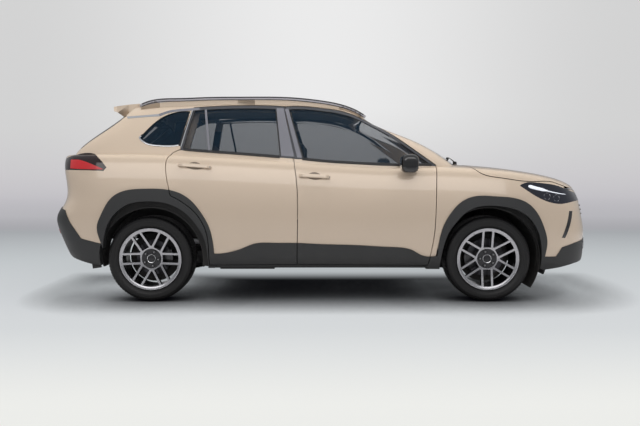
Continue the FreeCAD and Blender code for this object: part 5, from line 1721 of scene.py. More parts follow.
@dataclass
class Windows:
    """Seals round the side panes, bright strips, the window divider, the pillar panels and the belt
    mouldings.
    """

    surface: Surface
    edges: Edges
    seal_half: float = 0.0055
    belt_height: float = 0.0105
    strip_half: float = 0.0055
    quarter_rim: Knots = ((-1.452, 1.300), (-1.462, 1.282), (-1.425, 1.250), (-1.373, 1.229), (-1.280, 1.219),
                          (-1.190, 1.219), (-1.150, 1.226))
    divider: Knots = ((-0.952, 1.512), (-0.928, 1.340), (-0.906, 1.184))
    pillar_slope: Knots = ((-1.057, 1.508), (-1.096, 1.352), (-1.131, 1.206))
    belts: tuple[tuple[tuple[float, float], ...], ...] = (
        ((-0.172, 1.117), (0.044, 1.096), (0.278, 1.083), (0.519, 1.072), (0.842, 1.072)),
        ((-1.106, 1.192), (-0.921, 1.176), (-0.661, 1.157), (-0.350, 1.132)))

    def build(self) -> None:
        """Makes the trim of both sides."""
        for side in Side:
            self.seals(side)
            self.belt(side)
            self.strips(side)
            self.pillars(side)

    def seals(self, side: Side) -> None:
        """A rounded rubber bead round every side pane, between glass and frame."""
        profile = rounded_bar(self.seal_half, 0.0030, 0.0022, 3)
        for name, node, body in (("front_seal_", "door_front_glass_" + side.word, "front_door_" + side.word),
                                 ("rear_seal_", "door_rear_glass_" + side.word, "rear_door_" + side.word),
                                 ("quarter_seal_", "quarter_windows", "body_shell")):
            points, normals = self.edges.evened(*self.edges.loops(node, side)[0], 0.011)
            shape = Shape.sweep(points + normals * 0.0042, profile, up=normals, closed=True).outward()
            put(name + side.word, shape, body, "black_trim", Palette.seal)

    def belt(self, side: Side) -> None:
        """Black mouldings under the door windows."""
        profile = rounded_bar(self.belt_height, 0.0045, 0.0035, 3)
        for name, knots, body in zip(("front_belt_", "rear_belt_"), self.belts,
                                     ("front_door_", "rear_door_")):
            shape = self.surface.strip(knots, profile, 60, 0.0022).on(side)
            put(name + side.word, shape, body + side.word, "black_trim", Palette.satin_black)

    def strips(self, side: Side) -> None:
        """Bright strips under the quarter window and down its pillar, and the rear window's divider."""
        profile = rounded_bar(self.strip_half, 0.003, 0.0022, 3)
        rim = self.surface.strip(self.quarter_rim, profile, 60, 0.0006).on(side)
        put("quarter_strip_" + side.word, rim, "body_shell", "rail", Palette.chrome)
        slope = self.surface.strip(self.pillar_slope, rounded_bar(0.0045, 0.003, 0.002, 3), 24,
                                   0.001).on(side)
        put("pillar_strip_" + side.word, slope, "rear_door_" + side.word, "rail", Palette.chrome)
        bar = self.surface.strip(self.divider, rounded_bar(0.0095, 0.004, 0.003, 3), 24, -0.001).on(side)
        put("window_divider_" + side.word, bar, "rear_door_" + side.word, "black_trim", Palette.pillar)

    def pillars(self, side: Side) -> None:
        """Gloss panels on the two door frames that meet at the middle pillar."""
        front = self.surface.patch([(-0.213, 1.128), (-0.176, 1.125)], [(-0.317, 1.520), (-0.288, 1.520)],
                                   0.0016, 0.004, (24, 6)).on(side)
        rear = self.surface.patch([(-0.338, 1.141), (-0.236, 1.133)], [(-0.384, 1.524), (-0.327, 1.524)],
                                  0.0016, 0.004, (24, 6)).on(side)
        put("pillar_panel_front_" + side.word, front, "front_door_" + side.word, "black_trim", Palette.pillar)
        put("pillar_panel_rear_" + side.word, rear, "rear_door_" + side.word, "black_trim", Palette.pillar)


@dataclass
class DoorFittings:
    """Handles over patches of painted shade where their cups would be, with a lock each, and the mirrors'
    glass.
    """

    surface: Surface
    front_handle: Knots = ((-0.194, 0.985), (-0.076, 0.978), (0.042, 0.971))
    rear_handle: Knots = ((-1.130, 1.066), (-1.004, 1.057), (-0.879, 1.048))
    reach: float = 0.036

    def build(self) -> None:
        """Makes the fittings of both sides."""
        for side in Side:
            self.handle("front", self.front_handle, side)
            self.handle("rear", self.rear_handle, side)
            self.mirror(side)

    def handle(self, word: str, knots: tuple, side: Side) -> None:
        """A bar handle: a rounded bar whose lift from the door is reach * (1 - t^8), t from -1 to 1."""
        points, normals = self.surface.line(knots, 41)
        t = np.linspace(-1, 1, 41)
        lift = 0.006 + (self.reach - 0.006) * (1 - np.abs(t) ** 8)
        swell = 1.0 - 0.25 * np.abs(t) ** 6
        bar = Shape.bar(points + normals * lift[:, None], (0.0145, 0.0058, 0.0045, 5), up=normals,
                        scale=swell).painted(0)
        feet = []
        for t_foot in (3, 37):
            path = np.stack([points[t_foot] + normals[t_foot] * k for k in (-0.004, lift[t_foot] - 0.002)])
            feet.append(Shape.bar(path, (0.012, 0.010, 0.005, 4), up=(0, 0, 1)).painted(0))
        barrel = Shape.turned([(0.0, 0.003), (0.0055, 0.003), (0.0065, 0.0015), (0.0065, -0.003),
                               (0.0, -0.003)], 20)
        spot = points[39] + normals[39] * lift[39] + np.array([0.0, 0.006, 0.0])
        lock = barrel.painted(1).moved(tuple(spot))
        # A darker patch laid 0.6 mm off the door under the bar: painted shade of the handle's cup
        (x0, z0), (x1, z1), (x2, z2) = knots
        start = (x0 * 0.82 + x2 * 0.18, z0 * 0.82 + z2 * 0.18)
        end = (x0 * 0.18 + x2 * 0.82, z0 * 0.18 + z2 * 0.82)
        lower = [(start[0], start[1] - 0.006), (x1, z1 - 0.024), (end[0], end[1] - 0.006)]
        upper = [(start[0], start[1] + 0.006), (x1, z1 + 0.036), (end[0], end[1] + 0.006)]
        cup = self.surface.patch(lower, upper, 0.0006, 0.0025, (8, 24)).painted(2)
        shape = Shape.joined([bar, *feet, lock.outward(), cup]).on(side)
        put("%s_handle_%s" % (word, side.word), shape, "%s_door_%s" % (word, side.word), "paint",
            Palette.paint, Palette.chrome, Palette.cup)

    def mirror(self, side: Side) -> None:
        """The mirror's glass on its rear face, dished a little and pinched at its corners."""
        y = np.linspace(0.882, 0.996, 14)[:, None]
        z = np.linspace(1.034, 1.122, 12)[None, :]
        u, v = np.linspace(-1, 1, 14)[:, None], np.linspace(-1, 1, 12)[None, :]
        pinch = 1 - 0.10 * np.abs(u) ** 4 * np.abs(v) ** 4
        x = 0.5795 + 0.004 * (u ** 2 + v ** 2) - 0.0035
        rows = np.stack([np.broadcast_to(x, (14, 12)), 0.939 + (y - 0.939) * pinch,
                         1.078 + (z - 1.078) * pinch], -1)
        shape = Shape.grid(rows)
        face = np.cross(rows[1, 0] - rows[0, 0], rows[0, 1] - rows[0, 0])
        if face[0] < 0:
            shape = Shape(shape.points, [f[::-1] for f in shape.faces])
        put("mirror_glass_" + side.word, shape.on(side), "front_door_" + side.word, "alloy", Palette.mirror)


@dataclass
class Lamps:
    """Pieces in the headlamps and tail lamps: light bars and projector bowls in front, red wedges behind."""

    surface: Surface
    bar_knots: Knots = ((1.585, 0.906), (1.645, 0.890), (1.697, 0.878), (1.811, 0.852), (1.905, 0.838))
    red_low: Knots = ((-1.990, 1.043), (-1.896, 1.038), (-1.800, 1.036), (-1.712, 1.036))
    red_high: Knots = ((-1.990, 1.112), (-1.905, 1.108), (-1.820, 1.082), (-1.716, 1.040))

    def build(self) -> None:
        """Makes the lamps of both sides."""
        for side in Side:
            self.head(side)
            self.tail(side)

    def head(self, side: Side) -> None:
        """A white light bar that thins out forwards, and two projector bowls."""
        taper = np.interp(np.linspace(0, 1, 60), [0, 0.05, 0.34, 0.5, 1.0], [0.5, 1.0, 0.95, 0.34, 0.22])
        bar = self.surface.strip(self.bar_knots, rounded_bar(0.013, 0.004, 0.003, 4), 60, -0.0010,
                                 scale=taper)
        put("light_bar_" + side.word, bar.on(side), "body_shell", "lamp", Palette.lamp_white)
        bowls = []
        for x, z, radius in ((1.735, 0.826, 0.024), (1.815, 0.812, 0.024)):
            rings = np.array([(0.0, -0.008), (radius * 0.5, -0.0065), (radius * 0.85, -0.0045),
                              (radius, -0.002), (radius * 1.08, 0.0005), (radius * 1.16, 0.0005),
                              (radius * 1.18, -0.004), (0.0, -0.012)])
            bowl = Shape.turned(rings, 40)
            tone = [1 if k % 8 in (3, 4, 5) else 0 for k in range(len(bowl.faces))]
            bowls.append(self.surface.seat(Shape(bowl.points, bowl.faces, tone), x, z))
        put("projectors_" + side.word, Shape.joined(bowls).on(side), "body_shell", "lamp", Palette.lens_glass,
            Palette.chrome, sharp=50.0)

    def tail(self, side: Side) -> None:
        """A red wedge across the lower part of the dark lamp."""
        wedge = self.surface.patch(self.red_low, self.red_high, *TRIM, (10, 40))
        put("tail_wedge_" + side.word, wedge.on(side), "body_shell", "lamp_red", Palette.red_lens)


@dataclass
class FrontEnd:
    """Grille bars, bumper slits, fog lamps and the blank plate."""

    surface: Surface
    bar_count: int = 6
    half_width: float = 0.455

    def build(self) -> None:
        """Makes the front end's pieces."""
        self.grille()
        self.slits()
        self.plate()

    def grille(self) -> None:
        """Level bars with a fine mesh of upright posts behind them."""
        bars = []
        for z in np.linspace(0.672, 0.842, self.bar_count):
            reach = self.half_width - 0.010 if z > 0.76 else 0.60 - (0.78 - z) * 0.1
            path, normals = self.surface.level(float(z), reach, -0.0035, View.AHEAD, 61)
            bars.append(Shape.bar(path, (0.0055, 0.0075, 0.004, 4), up=normals))
        put("grille_bars", Shape.joined(bars), "body_shell", "black_trim", Palette.gloss_black)
        posts = []
        for y in np.linspace(-0.42, 0.42, 29):
            points, normals = self.surface.seen(np.full(12, y), np.linspace(0.670, 0.845, 12), View.AHEAD)
            posts.append(Shape.bar(points - normals * 0.0075, (0.0022, 0.003, 0.0015, 2), up=normals))
        put("grille_mesh", Shape.joined(posts), "body_shell", "black_trim", Palette.satin_black)

    def slits(self) -> None:
        """Dark upright slits at the bumper's corners and a round lamp pod below each."""
        for side in Side:
            slit = self.surface.patch([(1.893, 0.498), (1.921, 0.560), (1.948, 0.640), (1.962, 0.708)],
                                      [(1.862, 0.500), (1.888, 0.560), (1.914, 0.640), (1.930, 0.708)],
                                      0.0012, 0.006, (6, 30))
            put("bumper_slit_" + side.word, slit.on(side), "body_shell", "black_trim", Palette.gloss_black)
            pod = Shape.turned([(0.0, 0.007), (0.022, 0.0065), (0.032, 0.005), (0.034, 0.008), (0.044, 0.008),
                                (0.047, 0.004), (0.047, -0.006), (0.0, -0.006)], 40)
            tone = [0 if k % 8 < 2 else 1 for k in range(len(pod.faces))]
            pod = self.surface.seat(Shape(pod.points, pod.faces, tone), 0.640, 0.420, View.AHEAD)
            put("fog_lamp_" + side.word, pod.on(side), "body_shell", "lamp", Palette.lens_glass,
                Palette.gloss_black)

    def plate(self) -> None:
        """A blank plate in its holder, bent with the nose."""
        plate = self.surface.plate(0.575, View.AHEAD, (-0.0020, 0.0004), (0.062, 0.0035, 0.003), 0.0555)
        put("front_plate", plate, "body_shell", "paint", Palette.plate, Palette.satin_black)


@dataclass
class RoofTrim:
    """Strips from the spoiler to the side windows, rail edges and mouldings, and the pillars' covers."""

    surface: Surface
    rail_face: float = 0.6245

    def build(self) -> None:
        """Makes the trim of both sides."""
        strip = self.surface.patch([(-1.578, 1.441), (-1.450, 1.451), (-1.318, 1.459)],
                                   [(-1.592, 1.459), (-1.450, 1.467), (-1.330, 1.478)], *TRIM, (6, 40))
        band = self.surface.patch([(-1.318, 1.459), (-1.223, 1.491), (-1.067, 1.505), (-1.000, 1.510)],
                                  [(-1.330, 1.478), (-1.223, 1.512), (-1.067, 1.526), (-1.004, 1.531)], *TRIM,
                                  (6, 40))
        edge = self.surface.patch([(0.650, 1.222), (0.614, 1.330), (0.574, 1.476)],
                                  [(0.724, 1.200), (0.690, 1.330), (0.632, 1.466)], *TRIM, (16, 30),
                                  View.BEHIND)
        cover = self.surface.patch([(-1.066, 1.500), (-1.106, 1.360), (-1.147, 1.222)],
                                   [(-1.046, 1.501), (-1.088, 1.352), (-1.129, 1.212)], *TRIM, (24, 5))
        rails = self.rail_edges()
        for side in Side:
            put("spoiler_strip_" + side.word, strip.on(side), "body_shell", "rail", Palette.chrome)
            put("window_band_" + side.word, band.on(side), "body_shell", "rail", Palette.pillar)
            put("pillar_edge_" + side.word, edge.on(side), "body_shell", "black_trim", Palette.gloss_black)
            put("rail_edge_" + side.word, rails.on(side), "body_shell", "rail", Palette.rail_top,
                Palette.paint)
            put("pillar_cover_" + side.word, cover.on(side), "body_shell", "black_trim", Palette.gloss_black)

    def rail_line(self) -> np.ndarray:
        """Places along the upper edge of the left rail's outer face, read off its node: x and z."""
        mesh = frame["nodes"]["roof_rails"].data
        pairs = np.array([edge.vertices[:] for edge in mesh.edges])
        ends = read_out(mesh.vertices, "co")[pairs]
        ends = ends[(ends[:, :, 1] > self.rail_face - 0.003).all(axis=1)]
        low, high = ends[:, :, 0].min(), ends[:, :, 0].max()
        tops = []
        for at in np.linspace(low + 0.02, high - 0.02, 40):
            crossed = ends[(ends[:, :, 0].min(axis=1) <= at) & (ends[:, :, 0].max(axis=1) > at)]
            share = (at - crossed[:, 0, 0]) / (crossed[:, 1, 0] - crossed[:, 0, 0])
            tops.append((at, float((crossed[:, 0, 2] + share * (crossed[:, 1, 2] - crossed[:, 0, 2])).max())))
        return smooth_curve(tops, 90)

    def rail_edges(self) -> Shape:
        """Dark beads on the rail's edges, the lower one a painted shade line under the rail, and a painted
        moulding between rail and roof.
        """
        top = self.rail_line()
        x, z = top[:, 0], top[:, 1]
        face = np.full(90, self.rail_face)
        beads = []
        # The second bead, 24.5 mm down, is a painted shade line under the rail
        for drop, half in ((0.0050, 0.0046), (0.0245, 0.0028)):
            path = np.stack([x, face, z - drop], axis=1)
            beads.append(Shape.bar(path, (half, 0.0016, 0.001, 3), up=(0, 1, 0)).painted(0))
        foot, _ = self.surface.seen(x, np.full(90, 0.610), View.ABOVE)
        high = z - 0.0275
        low = np.minimum(foot[:, 2] - 0.006, high - 0.002)
        ring = np.stack([np.stack([x, np.full(90, y), level], axis=1)
                         for y, level in ((0.603, low), (0.6205, low), (0.6205, high), (0.603, high))],
                         axis=1)
        moulding = Shape.grid(ring, wrap_v=True, caps=True).outward().painted(1)
        return Shape.joined([*beads, moulding])


@dataclass
class Liners:
    """Dark arch liners ahead of the front wheels, and lips that close the arches over all four wheels."""

    radius: float = 0.405
    inner: float = 0.640
    outer: float = 0.872
    lip_radius: float = 0.438
    lip_width: float = 0.036
    lip_place: float = 0.834

    def build(self) -> None:
        """Makes the front liner and both lips of each side."""
        middle, half = (self.inner + self.outer) / 2, (self.outer - self.inner) / 2
        sheet = self.arc(Axle.FRONT, self.radius, middle, (-34.0, 62.0, 40), (half, 0.0015))
        for side in Side:
            put("arch_liner_" + side.word, sheet.on(side), "body_shell", "underbody", Palette.under)
            for axle in Axle:
                put("arch_lip_%s_%s" % (axle.word, side.word), self.lip(axle).on(side), "body_shell",
                    "underbody", Palette.under)

    def lip(self, axle: Axle) -> Shape:
        """A flat sheet from the wheelhouse's outer edge to the arch trim, about the axle."""
        return self.arc(axle, self.lip_radius, self.lip_place, (-8.0, 190.0, 60), (0.0015, self.lip_width))

    @staticmethod
    def arc(axle: Axle, radius: float, y: float, span: tuple[float, float, int],
            half: tuple[float, float]) -> Shape:
        """A sheet bent round an axle.

        Args:
            axle: the axle.
            radius: how far from it.
            y: the sheet's middle.
            span: first and last angle in degrees, and how many points.
            half: half width and half thickness.

        Returns:
            The sheet.
        """
        turn = np.radians(np.linspace(*span))
        path = np.stack([axle.value + radius * np.cos(turn), np.full(len(turn), y),
                         WHEEL_HEIGHT + radius * np.sin(turn)], axis=1)
        up = np.stack([np.cos(turn), np.zeros(len(turn)), np.sin(turn)], axis=1)
        return Shape.bar(path, (*half, 0.001, 2), up=up)


@dataclass
class RearEnd:
    """Wiper, blank plate, handle strip, stop lamp and reflectors of the tail."""

    surface: Surface

    def build(self) -> None:
        """Makes the tail's pieces."""
        self.wiper()
        self.plate()
        self.lamps()

    def wiper(self) -> None:
        """An arm from a pivot under the pane and a blade lying on the glass."""
        cap = Shape.turned([(0.0, 0.020), (0.012, 0.019), (0.017, 0.014), (0.018, -0.001), (0.0, -0.001)], 28)
        cap = self.surface.seat(cap, 0.0, 1.226, View.BEHIND).outward()
        arm_path, arm_up = self.surface.line([(0.0, 1.226), (0.10, 1.236), (0.235, 1.246)], 24, 0.016,
                                             View.BEHIND)
        arm = Shape.bar(arm_path, (0.0085, 0.0035, 0.0025, 3), up=arm_up, scale=np.linspace(1.2, 0.6, 24))
        blade_path, blade_up = self.surface.line([(0.045, 1.246), (0.20, 1.252), (0.375, 1.262)], 30, 0.0065,
                                                 View.BEHIND)
        blade = Shape.bar(blade_path, (0.0055, 0.0052, 0.002, 3), up=blade_up)
        put("rear_wiper", Shape.joined([cap, arm, blade]), "tailgate_lid", "black_trim", Palette.satin_black)

    def plate(self) -> None:
        """The bare plate on the tailgate with a handle strip over it."""
        plate = self.surface.plate(0.905, View.BEHIND, (0.0030, 0.0052), (0.060, 0.003, 0.0025), 0.0545)
        put("rear_plate", plate, "tailgate_lid", "paint", Palette.plate, Palette.satin_black)
        path, normals = self.surface.level(1.000, 0.330, 0.006, View.BEHIND)
        strip = Shape.bar(path, (0.016, 0.009, 0.006, 5), up=normals)
        put("gate_strip", strip, "tailgate_lid", "rail", Palette.chrome)

    def lamps(self) -> None:
        """The high stop lamp under the spoiler's edge and two reflectors in the lower trim."""
        for side in Side:
            mirror = self.surface.patch([(0.560, 0.520), (0.640, 0.521), (0.725, 0.524)],
                                        [(0.560, 0.552), (0.640, 0.553), (0.725, 0.556)], 0.007, 0.007,
                                        (6, 24), View.BEHIND)
            put("reflector_" + side.word, mirror.on(side), "body_shell", "lamp_red", Palette.red_glass)
        low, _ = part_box("rear_spoiler")
        y = np.linspace(-0.17, 0.17, 21)
        x = low[0] + 0.012 + (y / 0.552) ** 2 * 0.04
        path = np.stack([x, y, np.full(21, low[2] + 0.052)], axis=1)
        lamp = Shape.bar(path, (0.004, 0.006, 0.0025, 3), up=(0, 0, 1))
        put("high_stop_lamp", lamp, "tailgate_lid", "lamp_red", Palette.red_glass)


@dataclass
class Wipers:
    """Two front wipers that lie along the foot of the windscreen."""

    surface: Surface
    pivots: Knots = ((1.150, 0.300), (1.128, -0.330))
    tips: Knots = ((1.085, -0.060), (0.985, -0.655))
    tails: Knots = ((0.985, 0.575), (1.105, -0.075))

    def build(self) -> None:
        """Makes both wipers: pivot cap, bent arm and blade with its rubber."""
        pieces = []
        for (px, py), (ax, ay), (bx, by) in zip(self.pivots, self.tips, self.tails):
            middle = ((ax + bx) / 2 + 0.01, (ay + by) / 2)
            blade_path, up = self.surface.line([(bx, by), middle, (ax, ay)], 40, 0.010, View.ABOVE)
            pieces.append(Shape.bar(blade_path, (0.007, 0.0055, 0.002, 3), up=up))
            arm_path, up = self.surface.line([(px, py), ((px + middle[0]) / 2 + 0.01, (py + middle[1]) / 2),
                                              middle], 24, 0.022, View.ABOVE)
            pieces.append(Shape.bar(arm_path, (0.010, 0.004, 0.003, 3), up=up,
                                    scale=np.linspace(1.3, 0.6, 24)))
            foot, _ = self.surface.seen(np.array([px]), np.array([py]), View.ABOVE)
            cap = Shape.turned([(0.0, 0.028), (0.012, 0.026), (0.016, 0.020), (0.018, 0.0), (0.0, 0.0)], 28)
            quarter = np.array([[1, 0, 0], [0, 0, -1], [0, 1, 0]])
            pieces.append(cap.turned_by(quarter).moved(tuple(foot[0])).outward())
        put("front_wipers", Shape.joined(pieces), "body_shell", "black_trim", Palette.satin_black)


@dataclass
class Upholstery:
    """Front seats, headrests and rear bench: crowned pads filled by cloth simulation, then seamed."""

    voxel: float = 0.009
    pressure: float = 4.0
    steps: int = 20
    cap: float = 0.022
    seat_y: float = 0.380

    def build(self) -> None:
        """Makes every pad and the hard parts of the seats."""
        cushion = self.filled("front_cushion",
                              self.pad((0.165, self.seat_y, 0.486), (0.262, 0.238, 0.046), 0.30, (0, 0.024)),
                              [("y", self.seat_y - 0.150), ("y", self.seat_y + 0.150), ("x", 0.30),
                               ("x", 0.02)])
        back = self.filled("front_back",
                           self.pad((-0.186, self.seat_y, 0.760), (0.050, 0.225, 0.315), 0.30, (0.020, 0)),
                           [("y", self.seat_y - 0.140), ("y", self.seat_y + 0.140), ("z", 0.62), ("z", 0.88)])
        head = self.filled("front_head",
                           self.pad((-0.200, self.seat_y, 1.190), (0.036, 0.108, 0.062), 0.45, (0, 0)), [])
        for side in Side:
            for word, mesh in (("cushion", cushion), ("backrest", back), ("headrest", head)):
                piece = self.piece("seat_%s_%s" % (word, side.word), mesh, side, 0.7)
                if side is Side.LEFT and word == "cushion":
                    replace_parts(piece, "front_seats")
            self.base(side)
        bench = self.filled("bench_cushion",
                            self.pad((-0.625, 0.0, 0.497), (0.222, 0.612, 0.044), 0.24, (0, 0.012)),
                            [("y", -0.22), ("y", 0.22), ("x", -0.50)], 1.4)
        rest = self.filled("bench_back",
                           self.pad((-0.856, 0.0, 0.780), (0.034, 0.612, 0.320), 0.24, (0.010, 0)),
                           [("y", -0.22), ("y", 0.22), ("z", 0.72)], 1.4)
        for word, mesh in (("bench_cushion", bench), ("bench_backrest", rest)):
            piece = self.piece(word, mesh, Side.LEFT, 0.6)
            if word == "bench_cushion":
                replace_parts(piece, "rear_bench")
        self.bench_base()

    @staticmethod
    def pad(centre: tuple, half: tuple, power: float, wings: tuple[float, float]) -> Shape:
        """A superellipsoid with raised wings at both sides.

        Each axis follows sign(c) * |c| ** power of the sphere's coordinate; wings lift the face along x and z
        by their amounts times the fourth power of the sideways share.

        Args:
            centre: its middle.
            half: half sizes.
            power: roundness; smaller is squarer.
            wings: forward and upward lift of the sides.

        Returns:
            The closed form.
        """
        rise = np.linspace(-np.pi / 2, np.pi / 2, 40)[:, None]
        turn = np.linspace(-np.pi, np.pi, 80, endpoint=False)[None, :]

        def shaped(value: np.ndarray) -> np.ndarray:
            return np.sign(value) * np.abs(value) ** power

        x = shaped(np.cos(rise)) * shaped(np.cos(turn))
        y = shaped(np.cos(rise)) * shaped(np.sin(turn))
        z = shaped(np.sin(rise)) * np.ones_like(turn)
        lift = np.abs(y) ** 4
        points = np.stack([centre[0] + half[0] * x + wings[0] * lift * (x > 0), centre[1] + half[1] * y,
                           centre[2] + half[2] * z + wings[1] * lift * (z > 0)], axis=-1)
        return Shape.grid(points, wrap_v=True).outward()

    def filled(self, name: str, shape: Shape, seams: list[tuple[str, float]],
               size: float = 1.0) -> bpy.types.Mesh:
        """The form remeshed, blown up as cloth, capped, subdivided once and pressed in along its seams.

        Args:
            name: the new mesh's name.
            shape: the closed form.
            seams: planes of the sewn channels, by axis and place.
            size: a factor on the voxel.

        Returns:
            The finished mesh.
        """
        mesh = bpy.data.meshes.new(name)
        mesh.from_pydata(shape.points.tolist(), [], shape.faces)
        piece = bpy.data.objects.new(name, mesh)
        bpy.context.scene.collection.objects.link(piece)
        remesh = piece.modifiers.new("voxels", "REMESH")
        remesh.mode = "VOXEL"
        remesh.voxel_size = self.voxel * size
        self.bake(piece)
        before = read_out(piece.data.vertices, "co")
        cloth = piece.modifiers.new("cloth", "CLOTH")
        cloth.settings.use_pressure = True
        cloth.settings.uniform_pressure_force = self.pressure
        cloth.settings.effector_weights.gravity = 0.0
        scene = bpy.context.scene
        for step in range(1, self.steps + 1):
            scene.frame_set(step)
        self.bake(piece)
        scene.frame_set(1)
        after = read_out(piece.data.vertices, "co")
        move = after - before
        length = np.maximum(np.linalg.norm(move, axis=1, keepdims=True), 1e-9)
        piece.data.vertices.foreach_set("co", (before + move * np.minimum(1.0, self.cap / length)).ravel())
        subdivision = piece.modifiers.new("smooth", "SUBSURF")
        subdivision.levels = subdivision.render_levels = 1
        self.bake(piece)
        points = read_out(piece.data.vertices, "co")
        normals = read_out(piece.data.vertices, "normal")
        for axis, place in seams:
            gap = points[:, "xyz".index(axis)] - place
            channel = 0.0055 * np.exp(-(gap / 0.0065) ** 2) + 0.0035 * np.exp(-(gap / 0.03) ** 2)
            points -= normals * channel[:, None]
        piece.data.vertices.foreach_set("co", points.ravel())
        piece.data.update()
        done = piece.data
        bpy.data.objects.remove(piece)
        log.info("%s: %d faces", name, len(done.polygons))
        return done

    @staticmethod
    def bake(piece: bpy.types.Object) -> None:
        """Puts the piece's modifiers into its mesh."""
        graph = bpy.context.evaluated_depsgraph_get()
        mesh = bpy.data.meshes.new_from_object(piece.evaluated_get(graph))
        piece.modifiers.clear()
        piece.data = mesh

    def piece(self, name: str, mesh: bpy.types.Mesh, side: Side, fill: float) -> bpy.types.Object:
        """A padded piece from a finished mesh, mirrored for the right side.

        Args:
            name: its name.
            mesh: the finished pad.
            side: the side it sits on.
            fill: how tightly it is filled; not used.

        Returns:
            The piece.
        """
        own = mesh.copy()
        own.name = name
        if side is Side.RIGHT:
            points = read_out(own.vertices, "co") * np.array([1.0, -1.0, 1.0])
            own.vertices.foreach_set("co", points.ravel())
            own.flip_normals()
        own.materials.clear()
        own.materials.append(Palette.fabric.material())
        own.shade_smooth()
        pad = linked(name, own, "body_shell", "fabric")
        return pad

    def base(self, side: Side) -> None:
        """A front seat's shell, rails and headrest posts."""
        y = self.seat_y
        pieces = []
        for off in (-0.165, 0.165):
            path = np.array([(-0.02, y + off, 0.306), (0.36, y + off, 0.306)])
            pieces.append(Shape.bar(path, (0.020, 0.009, 0.004, 3)).painted(1))
            legs = np.array([(0.17, y + off, 0.310), (0.17, y + off, 0.430)])
            pieces.append(Shape.bar(legs, (0.11, 0.012, 0.006, 3), up=(0, 1, 0)).painted(0))
        pan = np.array([(-0.045, y, 0.434), (0.385, y, 0.434)])
        pieces.append(Shape.bar(pan, (0.195, 0.016, 0.012, 4)).painted(0))
        for off in (-0.055, 0.055):
            post = smooth_curve([(-0.196, y + off, 1.060), (-0.198, y + off, 1.100),
                                 (-0.200, y + off, 1.150)], 12)
            pieces.append(Shape.bar(post, (0.006, 0.006, 0.0055, 4), up=(0, 1, 0)).painted(1))
        put("seat_frame_" + side.word, Shape.joined(pieces).on(side), "body_shell", "cabin", Palette.cabin,
            Palette.steel)

    def bench_base(self) -> None:
        """The bench's plastic base."""
        box = np.array([(-0.640, -0.54, 0.375), (-0.640, 0.54, 0.375)])
        shape = Shape.bar(box, (0.19, 0.068, 0.02, 4))
        put("bench_frame", shape, "body_shell", "cabin", Palette.cabin)


